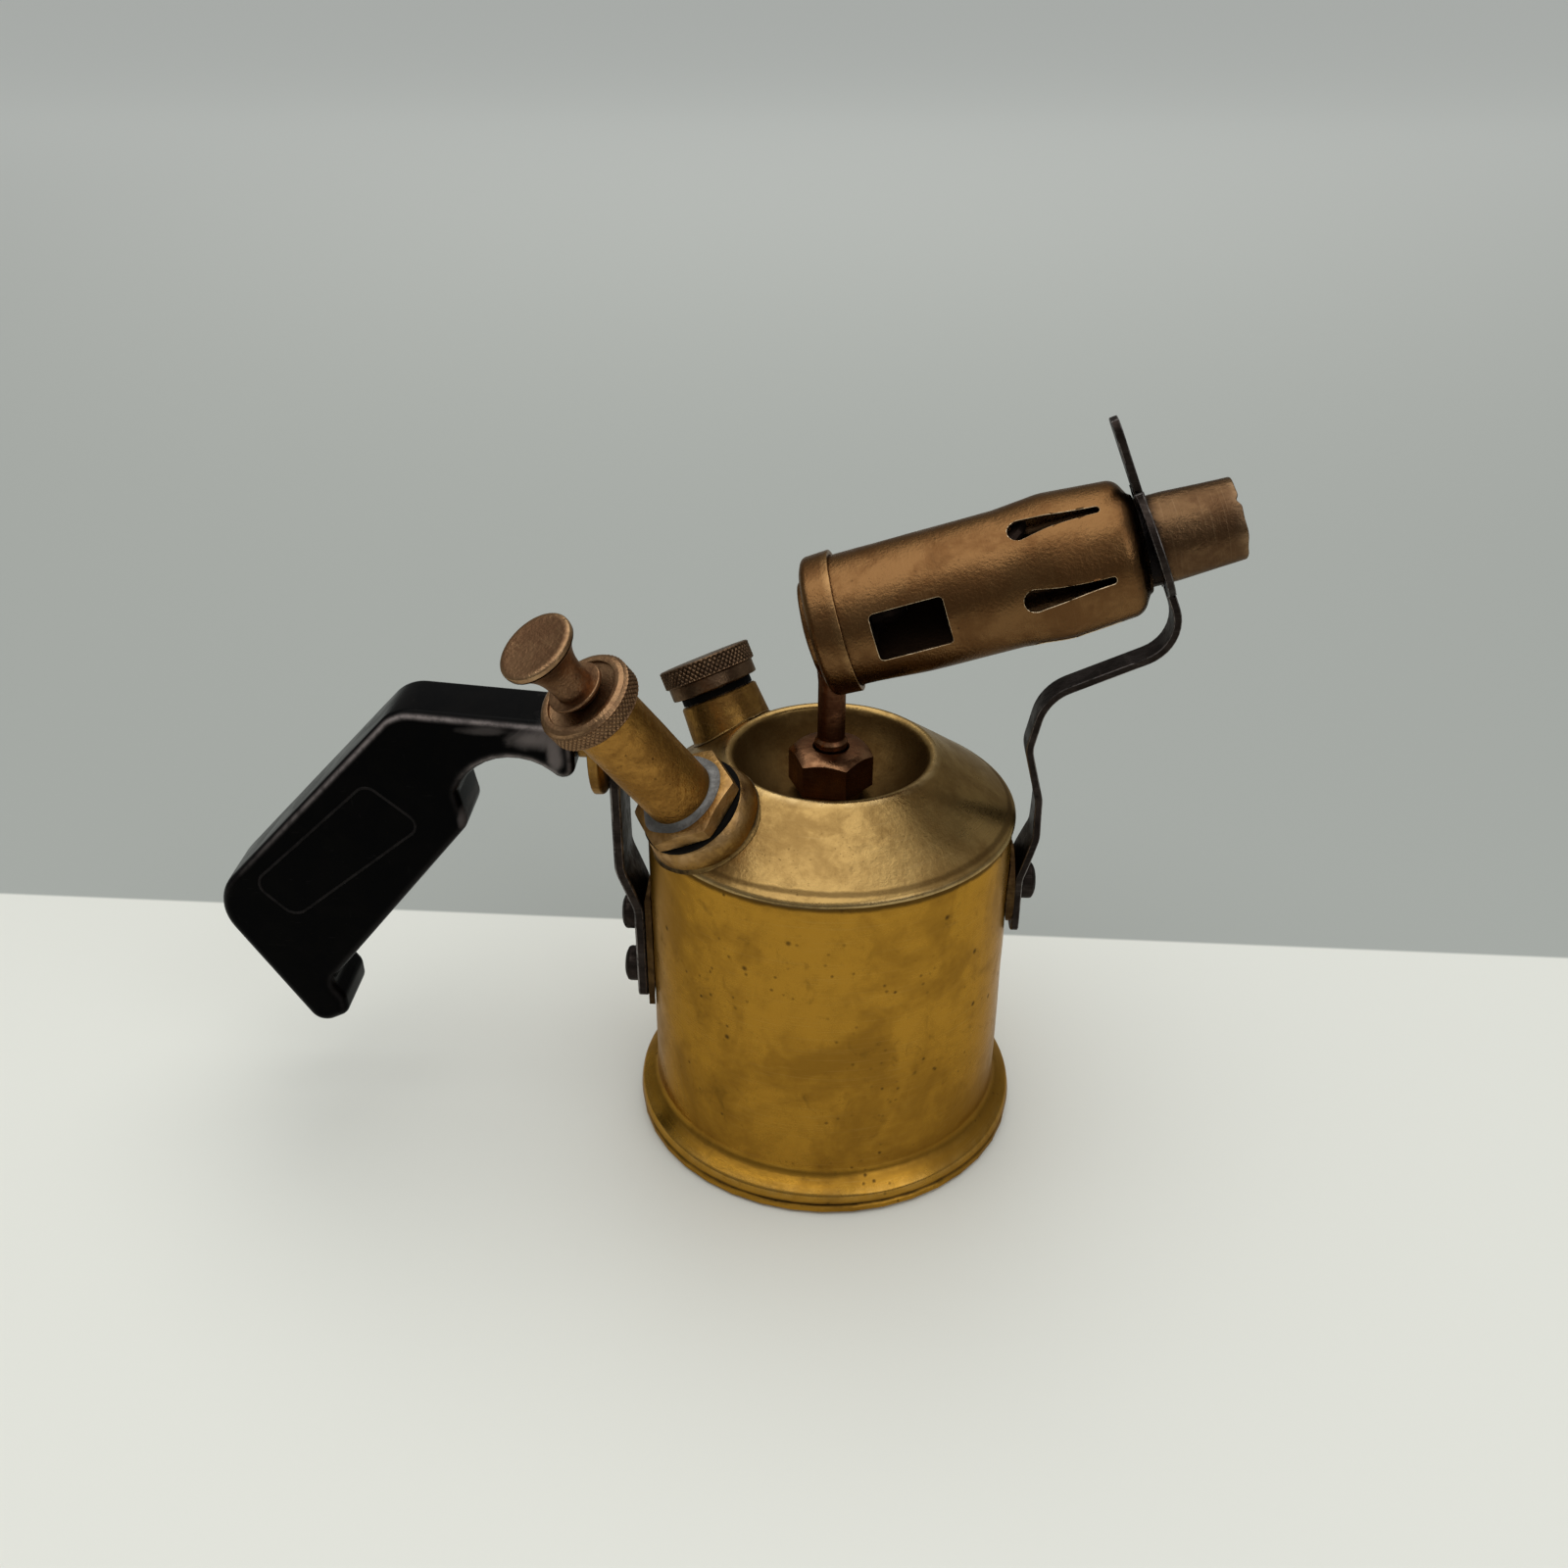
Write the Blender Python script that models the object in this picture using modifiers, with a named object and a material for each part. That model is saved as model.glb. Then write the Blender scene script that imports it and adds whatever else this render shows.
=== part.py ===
"""Paraffin blow lamp: tank, priming bowl, slanting burner, hand pump, filler and pistol grip.

Metres, +Z up. The origin is the centre of the tank's underside. The burner points along +X,
the grip stands on -X, and the pump leans out toward -X and -Y.
"""

import math

import bmesh
import bpy
from mathutils import Matrix, Vector

# Fits and cutting
GAP = 0.0003
OVERRUN = 0.004
MERGE = 0.00001
FLAT_ANGLE = math.radians(0.5)

# Facets
LARGE_STEPS = 40
MIDDLE_STEPS = 28
SMALL_STEPS = 12
BEND_STEPS = 3
ARC_STEPS = 5

# Tank body and foot
TANK_RADIUS = 0.042
TANK_WALL = 0.0008
SEAM_HEIGHT = 0.0826
FOOT_SPREAD = 0.0045
FOOT_FLARE_TOP = 0.0130
FOOT_FLARE_POWER = 1.5
FOOT_BEAD_TOP = 0.0046
FOOT_BEAD_BOTTOM = 0.0034
FOOT_SEAM = 0.0028
FOOT_SEAM_DEPTH = 0.0006
FLARE_STEPS = 5

# Base plate
PLATE_WALL = 0.0009
PLATE_RIM_INSET = 0.0002
PLATE_GROOVE_WIDTH = 0.0030
PLATE_GROOVE_DEPTH = 0.0010
PLATE_FLANGE_RISE = 0.0012

# Shoulder and priming bowl
SHOULDER_RISE = 0.01345
SHOULDER_EDGE_RADIUS = 0.0425
SHOULDER_EDGE_RISE = 0.0010
SHOULDER_EDGE_ROUND = 0.0014
SHOULDER_SKIRT = 0.0030
BOWL_RADIUS = 0.02385
BOWL_DEPTH = 0.0108
BOWL_FLOOR_RADIUS = 0.0140
BOWL_HEEL_INSET = 0.0049
BOWL_HEEL_RISE = 0.0014
BOWL_WALL_INSET = 0.0025
BOWL_WALL_RISE = 0.0046
BOWL_RIM_INSET = 0.0006
BOWL_RIM_ROUND = 0.0009

# Riser: socket, union nut, pipe and pickup tube
SOCKET_RADIUS = 0.0050
SOCKET_WALL = 0.0022
SOCKET_FLANGE = 0.0075
SOCKET_FLANGE_THICKNESS = 0.0014
SOCKET_LENGTH_ABOVE = 0.0085
SOCKET_LENGTH_BELOW = 0.0060
NUT_FLATS = 0.0170
NUT_HEIGHT = 0.0096
NUT_ROOF = 0.0026
NUT_TURN = math.radians(21.0)
NUT_CHAMFER = 0.0007
RISER_RADIUS = 0.0031
RISER_BORE = 0.0018
RISER_FLANGE = 0.0045
RISER_COLLAR = 0.0037
COLLAR_HEIGHT = 0.0012
PICKUP_RADIUS = 0.0024
PICKUP_BORE = 0.0016
PICKUP_FLOOR_GAP = 0.0030

# Burner: axis, end cap, head, cover and flame tube
BURNER_SLOPE = math.radians(17.2)
BURNER_REACH = 0.0300
BURNER_RISE = 0.0395
COVER_REAR_RADIUS = 0.0147
COVER_BELLY_RADIUS = 0.0152
COVER_WALL = 0.0007
COVER_REAR = -0.0310
COVER_BELLY = 0.0100
COVER_SHOULDER = 0.0325
COVER_SHOULDER_ROUND = 0.0035
COVER_NECK = 0.0345
COVER_NECK_FLARE = 0.0005
COVER_NECK_ROUND = 0.0012
COVER_FRONT = 0.0353
CAP_WALL = 0.0010
CAP_FRONT = -0.0283
CAP_REAR = -0.0351
CAP_DOME = 0.0025
CAP_EDGE_ROUND = 0.0012
HEAD_FRONT = -0.0275
HEAD_HUB_RADIUS = 0.0062
HEAD_HUB_LENGTH = 0.0045
HEAD_SOCKET_DEPTH = 0.0048
JET_LENGTH = 0.0075
JET_RADIUS = 0.0030
JET_TIP_RADIUS = 0.0012
JET_HEX_FLATS = 0.0070
LOOP_RADIUS = 0.0014
LOOP_FRONT = 0.0060
LOOP_HALF_ANGLE = math.radians(32.0)
WINDOW_REAR = -0.0223
WINDOW_FRONT = -0.0067
WINDOW_WIDTH = 0.0106
WINDOW_CORNER = 0.0010
WINDOW_ANGLE = math.radians(2.2)
SLOT_COUNT = 6
SLOT_REAR = 0.0109
SLOT_FRONT = 0.0275
SLOT_FAT_RADIUS = 0.0023
SLOT_TIP_RADIUS = 0.0008
FLAME_TUBE_RADIUS = 0.0094
FLAME_MOUTH_RADIUS = 0.0086
FLAME_TUBE_WALL = 0.0009
FLAME_TUBE_REAR = -0.0040
FLAME_TUBE_FRONT = 0.0555

# Straps
PAD_PROUD = 0.0009
PAD_DEPTH = 0.0030
SUPPORT_LEAF = 0.0130
SUPPORT_STEM = 0.0062
SUPPORT_THICKNESS = 0.0017
SUPPORT_FOOT = 0.0515
SUPPORT_JOG = 0.0033
SUPPORT_JOG_LOW = 0.0675
SUPPORT_JOG_HIGH = 0.0775
SUPPORT_BULGE_TOP = 0.0865
SUPPORT_WAIST = 0.0993
SUPPORT_KNEE = 0.1122
SUPPORT_KNEE_OUT = 0.0026
SUPPORT_RUN_SLOPE = math.radians(24.7)
SUPPORT_BEND = 0.0075
SUPPORT_KNEE_BEND = 0.0110
SUPPORT_ELBOW_BEND = 0.0092
RING_PLACE = 0.0377
RING_LEAN = math.radians(23.2)
RING_OUTER = 0.0123
RING_SETBACK = 0.00005
RING_TAB = 0.0268
HANDLE_STRAP_WIDTH = 0.0150
HANDLE_THICKNESS = 0.0024
HANDLE_FOOT = 0.0320
HANDLE_JOG = 0.0040
HANDLE_JOG_LOW = 0.0570
HANDLE_JOG_HIGH = 0.0680
HANDLE_TOP_MARGIN = 0.0075
HANDLE_BEND = 0.0100

# Strap pads and screws
SUPPORT_BOSS_RADIUS = 0.0097
SUPPORT_SCREW_HEIGHT = 0.0633
HANDLE_PAD_WIDTH = 0.0160
HANDLE_PAD_BOTTOM = 0.0300
HANDLE_PAD_TOP = 0.0600
HANDLE_SCREW_UPPER = 0.0520
HANDLE_SCREW_LOWER = 0.0364
SCREW_RADIUS = 0.0022
SCREW_LENGTH = 0.0065
SCREW_HEAD_RADIUS = 0.0043
SCREW_HEAD_HEIGHT = 0.0034
SCREW_HEAD_CHAMFER = 0.0008
PLUG_WALL = 0.0020
PLUG_FLOOR = 0.0012

# Grip, collar and bolt
GRIP_BOLT_HEIGHT = 0.1010
GRIP_BOLT_RADIUS = 0.0025
GRIP_BOLT_DEPTH = 0.0120
GRIP_NUT_FLATS = 0.0085
GRIP_NUT_HEIGHT = 0.0032
GRIP_STANDOFF = 0.0074
GRIP_DEPTH = 0.0185
GRIP_EDGE = 0.0024
GRIP_EDGE_STEPS = 3
GRIP_SHARP = 0.0002
GRIP_REACH = 0.0895
GRIP_DROP = 0.0887
COLLAR_RADIUS = 0.0145
COLLAR_CUP_DEPTH = 0.0034
COLLAR_WALL = 0.0011
COLLAR_HUB = 0.0062
GRIP_BOLT_share = 0.906
GRIP_OUTLINE_shares = [
    (0.000, 0.963, 0.022),
    (0.440, 1.000, 0.101),
    (1.000, 0.416, 0.132),
    (0.762, 0.004, 0.050),
    (0.677, 0.045, 0.034),
    (0.679, 0.105, 0.039),
    (0.711, 0.155, 0.034),
    (0.284, 0.668, 0.045),
    (0.302, 0.763, 0.034),
    (0.222, 0.967, 0.149),
    (0.000, 0.766, 0.034),
]

# Pump axis and outside pieces, measured from the seat on the shoulder
PUMP_AZIMUTH = math.radians(-143.7)
PUMP_ELEVATION = math.radians(54.2)
PUMP_SEAT_RADIUS = 0.03374
BARREL_RADIUS = 0.0077
BARREL_WALL = 0.0007
BARREL_TOP = 0.0456
BARREL_BOTTOM = -0.0346
BOSS_TOP = 0.0047
BOSS_TOP_RADIUS = 0.0122
BOSS_FOOT = 0.0008
BOSS_FOOT_RADIUS = 0.0131
BOSS_SKIRT = -0.0030
GASKET_THICKNESS = 0.0009
HEX_THICKNESS = 0.0034
HEX_FLATS = 0.0222
HEX_TURN = math.radians(-13.0)
HEX_CHAMFER = 0.0006
PUMP_CAP_RADIUS = 0.0104
PUMP_CAP_BOTTOM = 0.0414
PUMP_CAP_TOP = 0.0468
PUMP_CAP_FACE_RADIUS = 0.0092
PUMP_CAP_RECESS_RADIUS = 0.0079
PUMP_CAP_RECESS = 0.0008
KNOB_FLANGE_RADIUS = 0.0060
KNOB_FLANGE = 0.0484
KNOB_STEM_RADIUS = 0.0040
KNOB_DISC = 0.0608
KNOB_DISC_RADIUS = 0.0081
KNOB_TOP = 0.0622
KNOB_CURVE_STEPS = 6

# Pump inside pieces
ROD_RADIUS = 0.0021
ROD_TOP_MARGIN = 0.0020
PISTON_TOP = -0.0206
PISTON_THICKNESS = 0.0022
PISTON_RADIUS = 0.0058
LEATHER_DEPTH = 0.0048
LEATHER_WALL = 0.0011
PISTON_NUT_FLATS = 0.0062
PISTON_NUT_HEIGHT = 0.0022
VALVE_LENGTH = 0.0120
VALVE_RADIUS = 0.0046
VALVE_FLANGE = 0.0025
VALVE_PORT = 0.0009
VALVE_CHAMBER = 0.0034
VALVE_PAD_THICKNESS = 0.0014
VALVE_LIFT = 0.0010
SPRING_WIRE = 0.00035
SPRING_TURNS = 4
SPRING_POINTS = 10
RETAINER_THICKNESS = 0.0014
RETAINER_PORT = 0.0012

# Filler, measured from the seat on the shoulder
FILLER_AZIMUTH = math.radians(139.0)
FILLER_ELEVATION = math.radians(59.3)
FILLER_SEAT_RADIUS = 0.03174
NECK_TOP = 0.0082
NECK_TOP_RADIUS = 0.0094
NECK_FOOT_RADIUS = 0.0099
NECK_FOOT = 0.0005
NECK_SKIRT = -0.0030
NECK_BORE = 0.0076
FILLER_GASKET_RADIUS = 0.0087
FILLER_GASKET_THICKNESS = 0.0015
CAP_STEP_RADIUS = 0.01055
CAP_STEP_HEIGHT = 0.0030
CAP_KNURL_RADIUS = 0.01125
CAP_KNURL_HEIGHT = 0.0036
CAP_CROWN = 0.0006
CAP_PLUG_LENGTH = 0.0060
CAP_PLUG_WALL = 0.0014

# Derived places
PLATE_TOP = FOOT_SEAM - GAP
FOOT_RADIUS = TANK_RADIUS + FOOT_SPREAD
LIP_HEIGHT = SEAM_HEIGHT + GAP
RIM_HEIGHT = LIP_HEIGHT + SHOULDER_EDGE_RISE + SHOULDER_RISE
BOWL_FLOOR = RIM_HEIGHT - BOWL_DEPTH
CONE_SLOPE = SHOULDER_RISE / (SHOULDER_EDGE_RADIUS - BOWL_RADIUS)
NUT_BOTTOM = BOWL_FLOOR + SOCKET_FLANGE_THICKNESS + GAP * 2
NUT_TOP = NUT_BOTTOM + NUT_HEIGHT
BURNER_HEIGHT = RIM_HEIGHT + BURNER_RISE
CAP_RADIUS = COVER_REAR_RADIUS + GAP + CAP_WALL
SUPPORT_X = TANK_RADIUS + PAD_PROUD + GAP + SUPPORT_THICKNESS / 2
HANDLE_X = -(TANK_RADIUS + PAD_PROUD + GAP + HANDLE_THICKNESS / 2)
HANDLE_FACE = HANDLE_X - HANDLE_JOG - HANDLE_THICKNESS / 2
GRIP_FRONT = HANDLE_FACE - GRIP_STANDOFF
GASKET_BOTTOM = BOSS_TOP + GAP
HEX_BOTTOM = GASKET_BOTTOM + GASKET_THICKNESS + GAP
PISTON_BOTTOM = PISTON_TOP - PISTON_THICKNESS

# Colour, roughness and metallic value of each finish
FINISH_VALUES = {
    "aged_brass": ((0.44, 0.31, 0.10, 1.0), 0.38, 1.0),
    "shoulder_brass": ((0.55, 0.42, 0.20, 1.0), 0.32, 1.0),
    "heat_brass": ((0.20, 0.10, 0.05, 1.0), 0.42, 1.0),
    "red_brass": ((0.22, 0.08, 0.04, 1.0), 0.38, 1.0),
    "copper_brown": ((0.33, 0.20, 0.11, 1.0), 0.40, 1.0),
    "dark_steel": ((0.09, 0.08, 0.08, 1.0), 0.45, 1.0),
    "black_seal": ((0.02, 0.02, 0.02, 1.0), 0.75, 0.0),
    "leather": ((0.12, 0.06, 0.03, 1.0), 0.70, 0.0),
    "bakelite": ((0.012, 0.012, 0.013, 1.0), 0.18, 0.0),
}


def clear_scene():
    """Remove every object that the file starts with."""
    for item in list(bpy.data.objects):
        bpy.data.objects.remove(item, do_unlink=True)


def new_collection(name):
    """Return a new collection linked to the scene."""
    collection = bpy.data.collections.new(name)
    bpy.context.scene.collection.children.link(collection)
    return collection


def make_finishes():
    """Return the Principled materials by name."""
    finishes = {}
    for name, (colour, roughness, metallic) in FINISH_VALUES.items():
        finish = bpy.data.materials.new(name)
        finish.use_nodes = True
        finish.diffuse_color = colour
        shader = finish.node_tree.nodes["Principled BSDF"]
        shader.inputs["Base Color"].default_value = colour
        shader.inputs["Roughness"].default_value = roughness
        shader.inputs["Metallic"].default_value = metallic
        finishes[name] = finish
    return finishes


clear_scene()
LAMP = new_collection("paraffin_blow_lamp")
CUTTERS = new_collection("cutters")
FINISHES = make_finishes()


def link(item, finish=None, parent=None, matrix=None):
    """Place an object in the model, or among the cutters when it has no finish."""
    if finish:
        LAMP.objects.link(item)
        item.data.materials.append(FINISHES[finish])
    else:
        CUTTERS.objects.link(item)
        item.hide_render = True
        item.display_type = "WIRE"
    if parent:
        item.parent = parent
    if matrix:
        item.matrix_local = matrix
    return item


def axis_empty(name, origin, forward, side):
    """Return an empty whose +Z runs along forward and whose +X lies toward side."""
    forward = forward.normalized()
    across = forward.cross(side).normalized()
    side = across.cross(forward)
    empty = bpy.data.objects.new(name, None)
    rotation = Matrix((side, across, forward)).transposed().to_4x4()
    empty.matrix_world = Matrix.Translation(origin) @ rotation
    empty.empty_display_size = TANK_RADIUS
    LAMP.objects.link(empty)
    return empty


def turned(name, profile, finish=None, parent=None, steps=LARGE_STEPS, ring=True, matrix=None):
    """Turn a profile of (radius, height) points round its Z axis; a ring profile is closed."""
    mesh = bpy.data.meshes.new(name)
    edges = [(i, i + 1) for i in range(len(profile) - 1)]
    if ring:
        edges.append((len(profile) - 1, 0))
    mesh.from_pydata([(radius, 0.0, height) for radius, height in profile], edges, [])
    item = link(bpy.data.objects.new(name, mesh), finish, parent, matrix)
    screw = item.modifiers.new("Turn", "SCREW")
    screw.angle = math.tau
    screw.steps = steps
    screw.render_steps = steps
    screw.use_merge_vertices = True
    screw.merge_threshold = MERGE
    screw.use_smooth_shade = True
    return item


def offset(points, distance):
    """Return a line beside the given one, at a distance to its right."""
    line = [Vector(point) for point in points]
    shifted = []
    for i, point in enumerate(line):
        normals = []
        for a, b in ((i - 1, i), (i, i + 1)):
            if a >= 0 and b < len(line):
                run = (line[b] - line[a]).normalized()
                normals.append(Vector((run.y, -run.x)))
        middle = sum(normals, Vector((0.0, 0.0))).normalized()
        shifted.append(tuple(point + middle * (distance / middle.dot(normals[0]))))
    return shifted


def sheet(points, wall):
    """Return the ring profile of a sheet whose outer side runs along the points."""
    return list(points) + offset(points, wall)[::-1]


def rounded(corners, steps=BEND_STEPS, closed=False):
    """Return the points of a line through (x, y, radius) corners with each corner rounded."""
    points = []
    last = len(corners) - 1
    for i, (x, y, radius) in enumerate(corners):
        here = Vector((x, y))
        if radius == 0 or (not closed and i in (0, last)):
            points.append(tuple(here))
            continue
        before = (Vector(corners[i - 1][:2]) - here).normalized()
        after = (Vector(corners[(i + 1) % (last + 1)][:2]) - here).normalized()
        half = before.angle(after) / 2
        centre = here + (before + after).normalized() * (radius / math.sin(half))
        start = here + before * (radius / math.tan(half)) - centre
        end = here + after * (radius / math.tan(half)) - centre
        first = math.atan2(start.y, start.x)
        sweep = math.remainder(math.atan2(end.y, end.x) - first, math.tau)
        for k in range(steps + 1):
            angle = first + sweep * k / steps
            points.append((centre.x + radius * math.cos(angle), centre.y + radius * math.sin(angle)))
    return points


def mesh_from_curve(curve_object, finish, parent, matrix):
    """Replace a curve object by a welded mesh object that modifiers can cut."""
    bpy.context.scene.collection.objects.link(curve_object)
    evaluated = curve_object.evaluated_get(bpy.context.evaluated_depsgraph_get())
    mesh = bpy.data.meshes.new_from_object(evaluated)
    name = curve_object.name
    bpy.data.objects.remove(curve_object)
    shape = bmesh.new()
    shape.from_mesh(mesh)
    bmesh.ops.remove_doubles(shape, verts=shape.verts, dist=MERGE)
    bmesh.ops.dissolve_limit(shape, angle_limit=FLAT_ANGLE, verts=shape.verts, edges=shape.edges)
    bmesh.ops.recalc_face_normals(shape, faces=shape.faces)
    shape.to_mesh(mesh)
    shape.free()
    mesh.materials.clear()
    return link(bpy.data.objects.new(name, mesh), finish, parent, matrix)


def plate(name, outline, thickness, finish=None, parent=None, matrix=None):
    """Extrude a closed outline both ways from its XY plane."""
    curve = bpy.data.curves.new(name, "CURVE")
    curve.dimensions = "2D"
    curve.fill_mode = "BOTH"
    curve.extrude = thickness / 2
    spline = curve.splines.new("POLY")
    spline.points.add(len(outline) - 1)
    for point, (x, y) in zip(spline.points, outline):
        point.co = (x, y, 0.0, 1.0)
    spline.use_cyclic_u = True
    return mesh_from_curve(bpy.data.objects.new(name, curve), finish, parent, matrix)


def inset(corners, distance):
    """Move a closed counterclockwise outline of (x, y, radius) corners inward, about the same arc centres."""
    moved = []
    for i, (x, y, radius) in enumerate(corners):
        here = Vector((x, y))
        before = (here - Vector(corners[i - 1][:2])).normalized()
        after = (Vector(corners[(i + 1) % len(corners)][:2]) - here).normalized()
        normal = Vector((-before.y, before.x))
        middle = (normal + Vector((-after.y, after.x))).normalized()
        place = here + middle * (distance / middle.dot(normal))
        convex = before.x * after.y > before.y * after.x
        moved.append((place.x, place.y, max(radius - distance if convex else radius + distance, GRIP_SHARP)))
    return moved


def cushion(name, corners, thickness, edge, finish, matrix):
    """Extrude a rounded outline both ways from its XY plane, with its edges rounded too."""
    levels = []
    for k in range(GRIP_EDGE_STEPS + 1):
        angle = math.pi / 2 * k / GRIP_EDGE_STEPS
        levels.append((edge * (1 - math.cos(angle)), thickness / 2 - edge * (1 - math.sin(angle))))
    levels = [(distance, -height) for distance, height in levels[::-1]] + levels
    shape = bmesh.new()
    loops = []
    for distance, height in levels:
        outline = rounded(inset(corners, distance), ARC_STEPS, closed=True)
        loops.append([shape.verts.new((x, y, height)) for x, y in outline])
    count = len(loops[0])
    for low, high in zip(loops, loops[1:]):
        for i in range(count):
            shape.faces.new((low[i], low[(i + 1) % count], high[(i + 1) % count], high[i]))
    shape.faces.new(loops[0][::-1])
    shape.faces.new(loops[-1])
    mesh = bpy.data.meshes.new(name)
    shape.to_mesh(mesh)
    shape.free()
    return link(bpy.data.objects.new(name, mesh), finish, None, matrix)


def tube(name, points, radius, finish=None, parent=None, resolution=2):
    """Return a round bar along a line of points."""
    curve = bpy.data.curves.new(name, "CURVE")
    curve.dimensions = "3D"
    curve.bevel_depth = radius
    curve.bevel_resolution = resolution
    curve.use_fill_caps = True
    spline = curve.splines.new("POLY")
    spline.points.add(len(points) - 1)
    for point, place in zip(spline.points, points):
        point.co = (*place, 1.0)
    return mesh_from_curve(bpy.data.objects.new(name, curve), finish, parent, None)


def prism(name, flats, low, high, finish=None, parent=None, turn=0.0, sides=6, chamfer=0.0):
    """Return a hexagonal or other regular prism, measured across its flats."""
    shape = bmesh.new()
    corner = flats / 2 / math.cos(math.pi / sides)
    spin = Matrix.Rotation(turn, 4, "Z")
    middle = Matrix.Translation((0.0, 0.0, (low + high) / 2))
    bmesh.ops.create_cone(shape, cap_ends=True, segments=sides, radius1=corner, radius2=corner,
                          depth=high - low, matrix=middle @ spin)
    mesh = bpy.data.meshes.new(name)
    shape.to_mesh(mesh)
    shape.free()
    item = link(bpy.data.objects.new(name, mesh), finish, parent)
    if chamfer:
        bevel(item, chamfer, 1)
    return item


def cylinder(name, radius, low, high, finish=None, parent=None, matrix=None, steps=MIDDLE_STEPS):
    """Return a plain cylinder along Z between two heights."""
    shape = bmesh.new()
    middle = Matrix.Translation((0.0, 0.0, (low + high) / 2))
    bmesh.ops.create_cone(shape, cap_ends=True, segments=steps, radius1=radius, radius2=radius,
                          depth=high - low, matrix=middle)
    mesh = bpy.data.meshes.new(name)
    shape.to_mesh(mesh)
    shape.free()
    return link(bpy.data.objects.new(name, mesh), finish, parent, matrix)


def box(name, low, high, finish=None, parent=None):
    """Return a box between two corners."""
    low = Vector(low)
    high = Vector(high)
    shape = bmesh.new()
    size = Matrix.Diagonal((*(high - low), 1.0))
    bmesh.ops.create_cube(shape, size=1.0, matrix=Matrix.Translation((low + high) / 2) @ size)
    mesh = bpy.data.meshes.new(name)
    shape.to_mesh(mesh)
    shape.free()
    return link(bpy.data.objects.new(name, mesh), finish, parent)


def combine(item, other, operation="DIFFERENCE"):
    """Cut, join or intersect an object with another one."""
    boolean = item.modifiers.new(operation.title(), "BOOLEAN")
    boolean.operation = operation
    boolean.solver = "EXACT"
    boolean.object = other
    return item


def bevel(item, width, segments=2, angle=math.radians(40.0)):
    """Round or chamfer an object's sharp edges."""
    edge = item.modifiers.new("Edges", "BEVEL")
    edge.width = width
    edge.segments = segments
    edge.limit_method = "ANGLE"
    edge.angle_limit = angle
    return item


def strip(name, path, widths, thickness, finish):
    """Bend a flat bar along (x, z) points through the middle of its thickness, with a Y width at each."""
    mesh = bpy.data.meshes.new(name)
    points = [(x, side * width / 2, z) for side in (-1, 1) for (x, z), width in zip(path, widths)]
    count = len(path)
    faces = [(i, i + 1, i + 1 + count, i + count) for i in range(count - 1)]
    mesh.from_pydata(points, [], faces)
    item = link(bpy.data.objects.new(name, mesh), finish)
    thick = item.modifiers.new("Thickness", "SOLIDIFY")
    thick.thickness = thickness
    thick.offset = 0.0
    thick.use_even_offset = True
    return item


def along_x(x, z):
    """Return the matrix of an axis that runs along +X from a point above the X axis."""
    return Matrix.Translation((x, 0.0, z)) @ Matrix.Rotation(math.pi / 2, 4, "Y")


def leaning_axis(name, azimuth, elevation, seat_radius):
    """Return the empty of an axis that leans out from the shoulder at a seat radius."""
    flat = Vector((math.cos(azimuth), math.sin(azimuth), 0.0))
    side = Vector((-math.sin(azimuth), math.cos(azimuth), 0.0))
    forward = flat * math.cos(elevation) + Vector((0.0, 0.0, math.sin(elevation)))
    seat = flat * seat_radius + Vector((0.0, 0.0, cone_height(seat_radius)))
    return axis_empty(name, seat, forward, side)


def cone_height(radius):
    """Return the height of the shoulder's outer face at a radius."""
    return RIM_HEIGHT - (radius - BOWL_RADIUS) * CONE_SLOPE


def shoulder_line():
    """Return the outer face of the shoulder from the bowl's rim down to its seam."""
    edge = SHOULDER_EDGE_RADIUS
    rim = BOWL_RADIUS - BOWL_RIM_INSET
    return rounded([
        (BOWL_RADIUS - BOWL_WALL_INSET, BOWL_FLOOR + BOWL_WALL_RISE, 0.0),
        (rim, cone_height(rim), BOWL_RIM_ROUND),
        (edge, cone_height(edge), SHOULDER_EDGE_ROUND),
        (edge, LIP_HEIGHT, 0.0),
    ])


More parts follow.
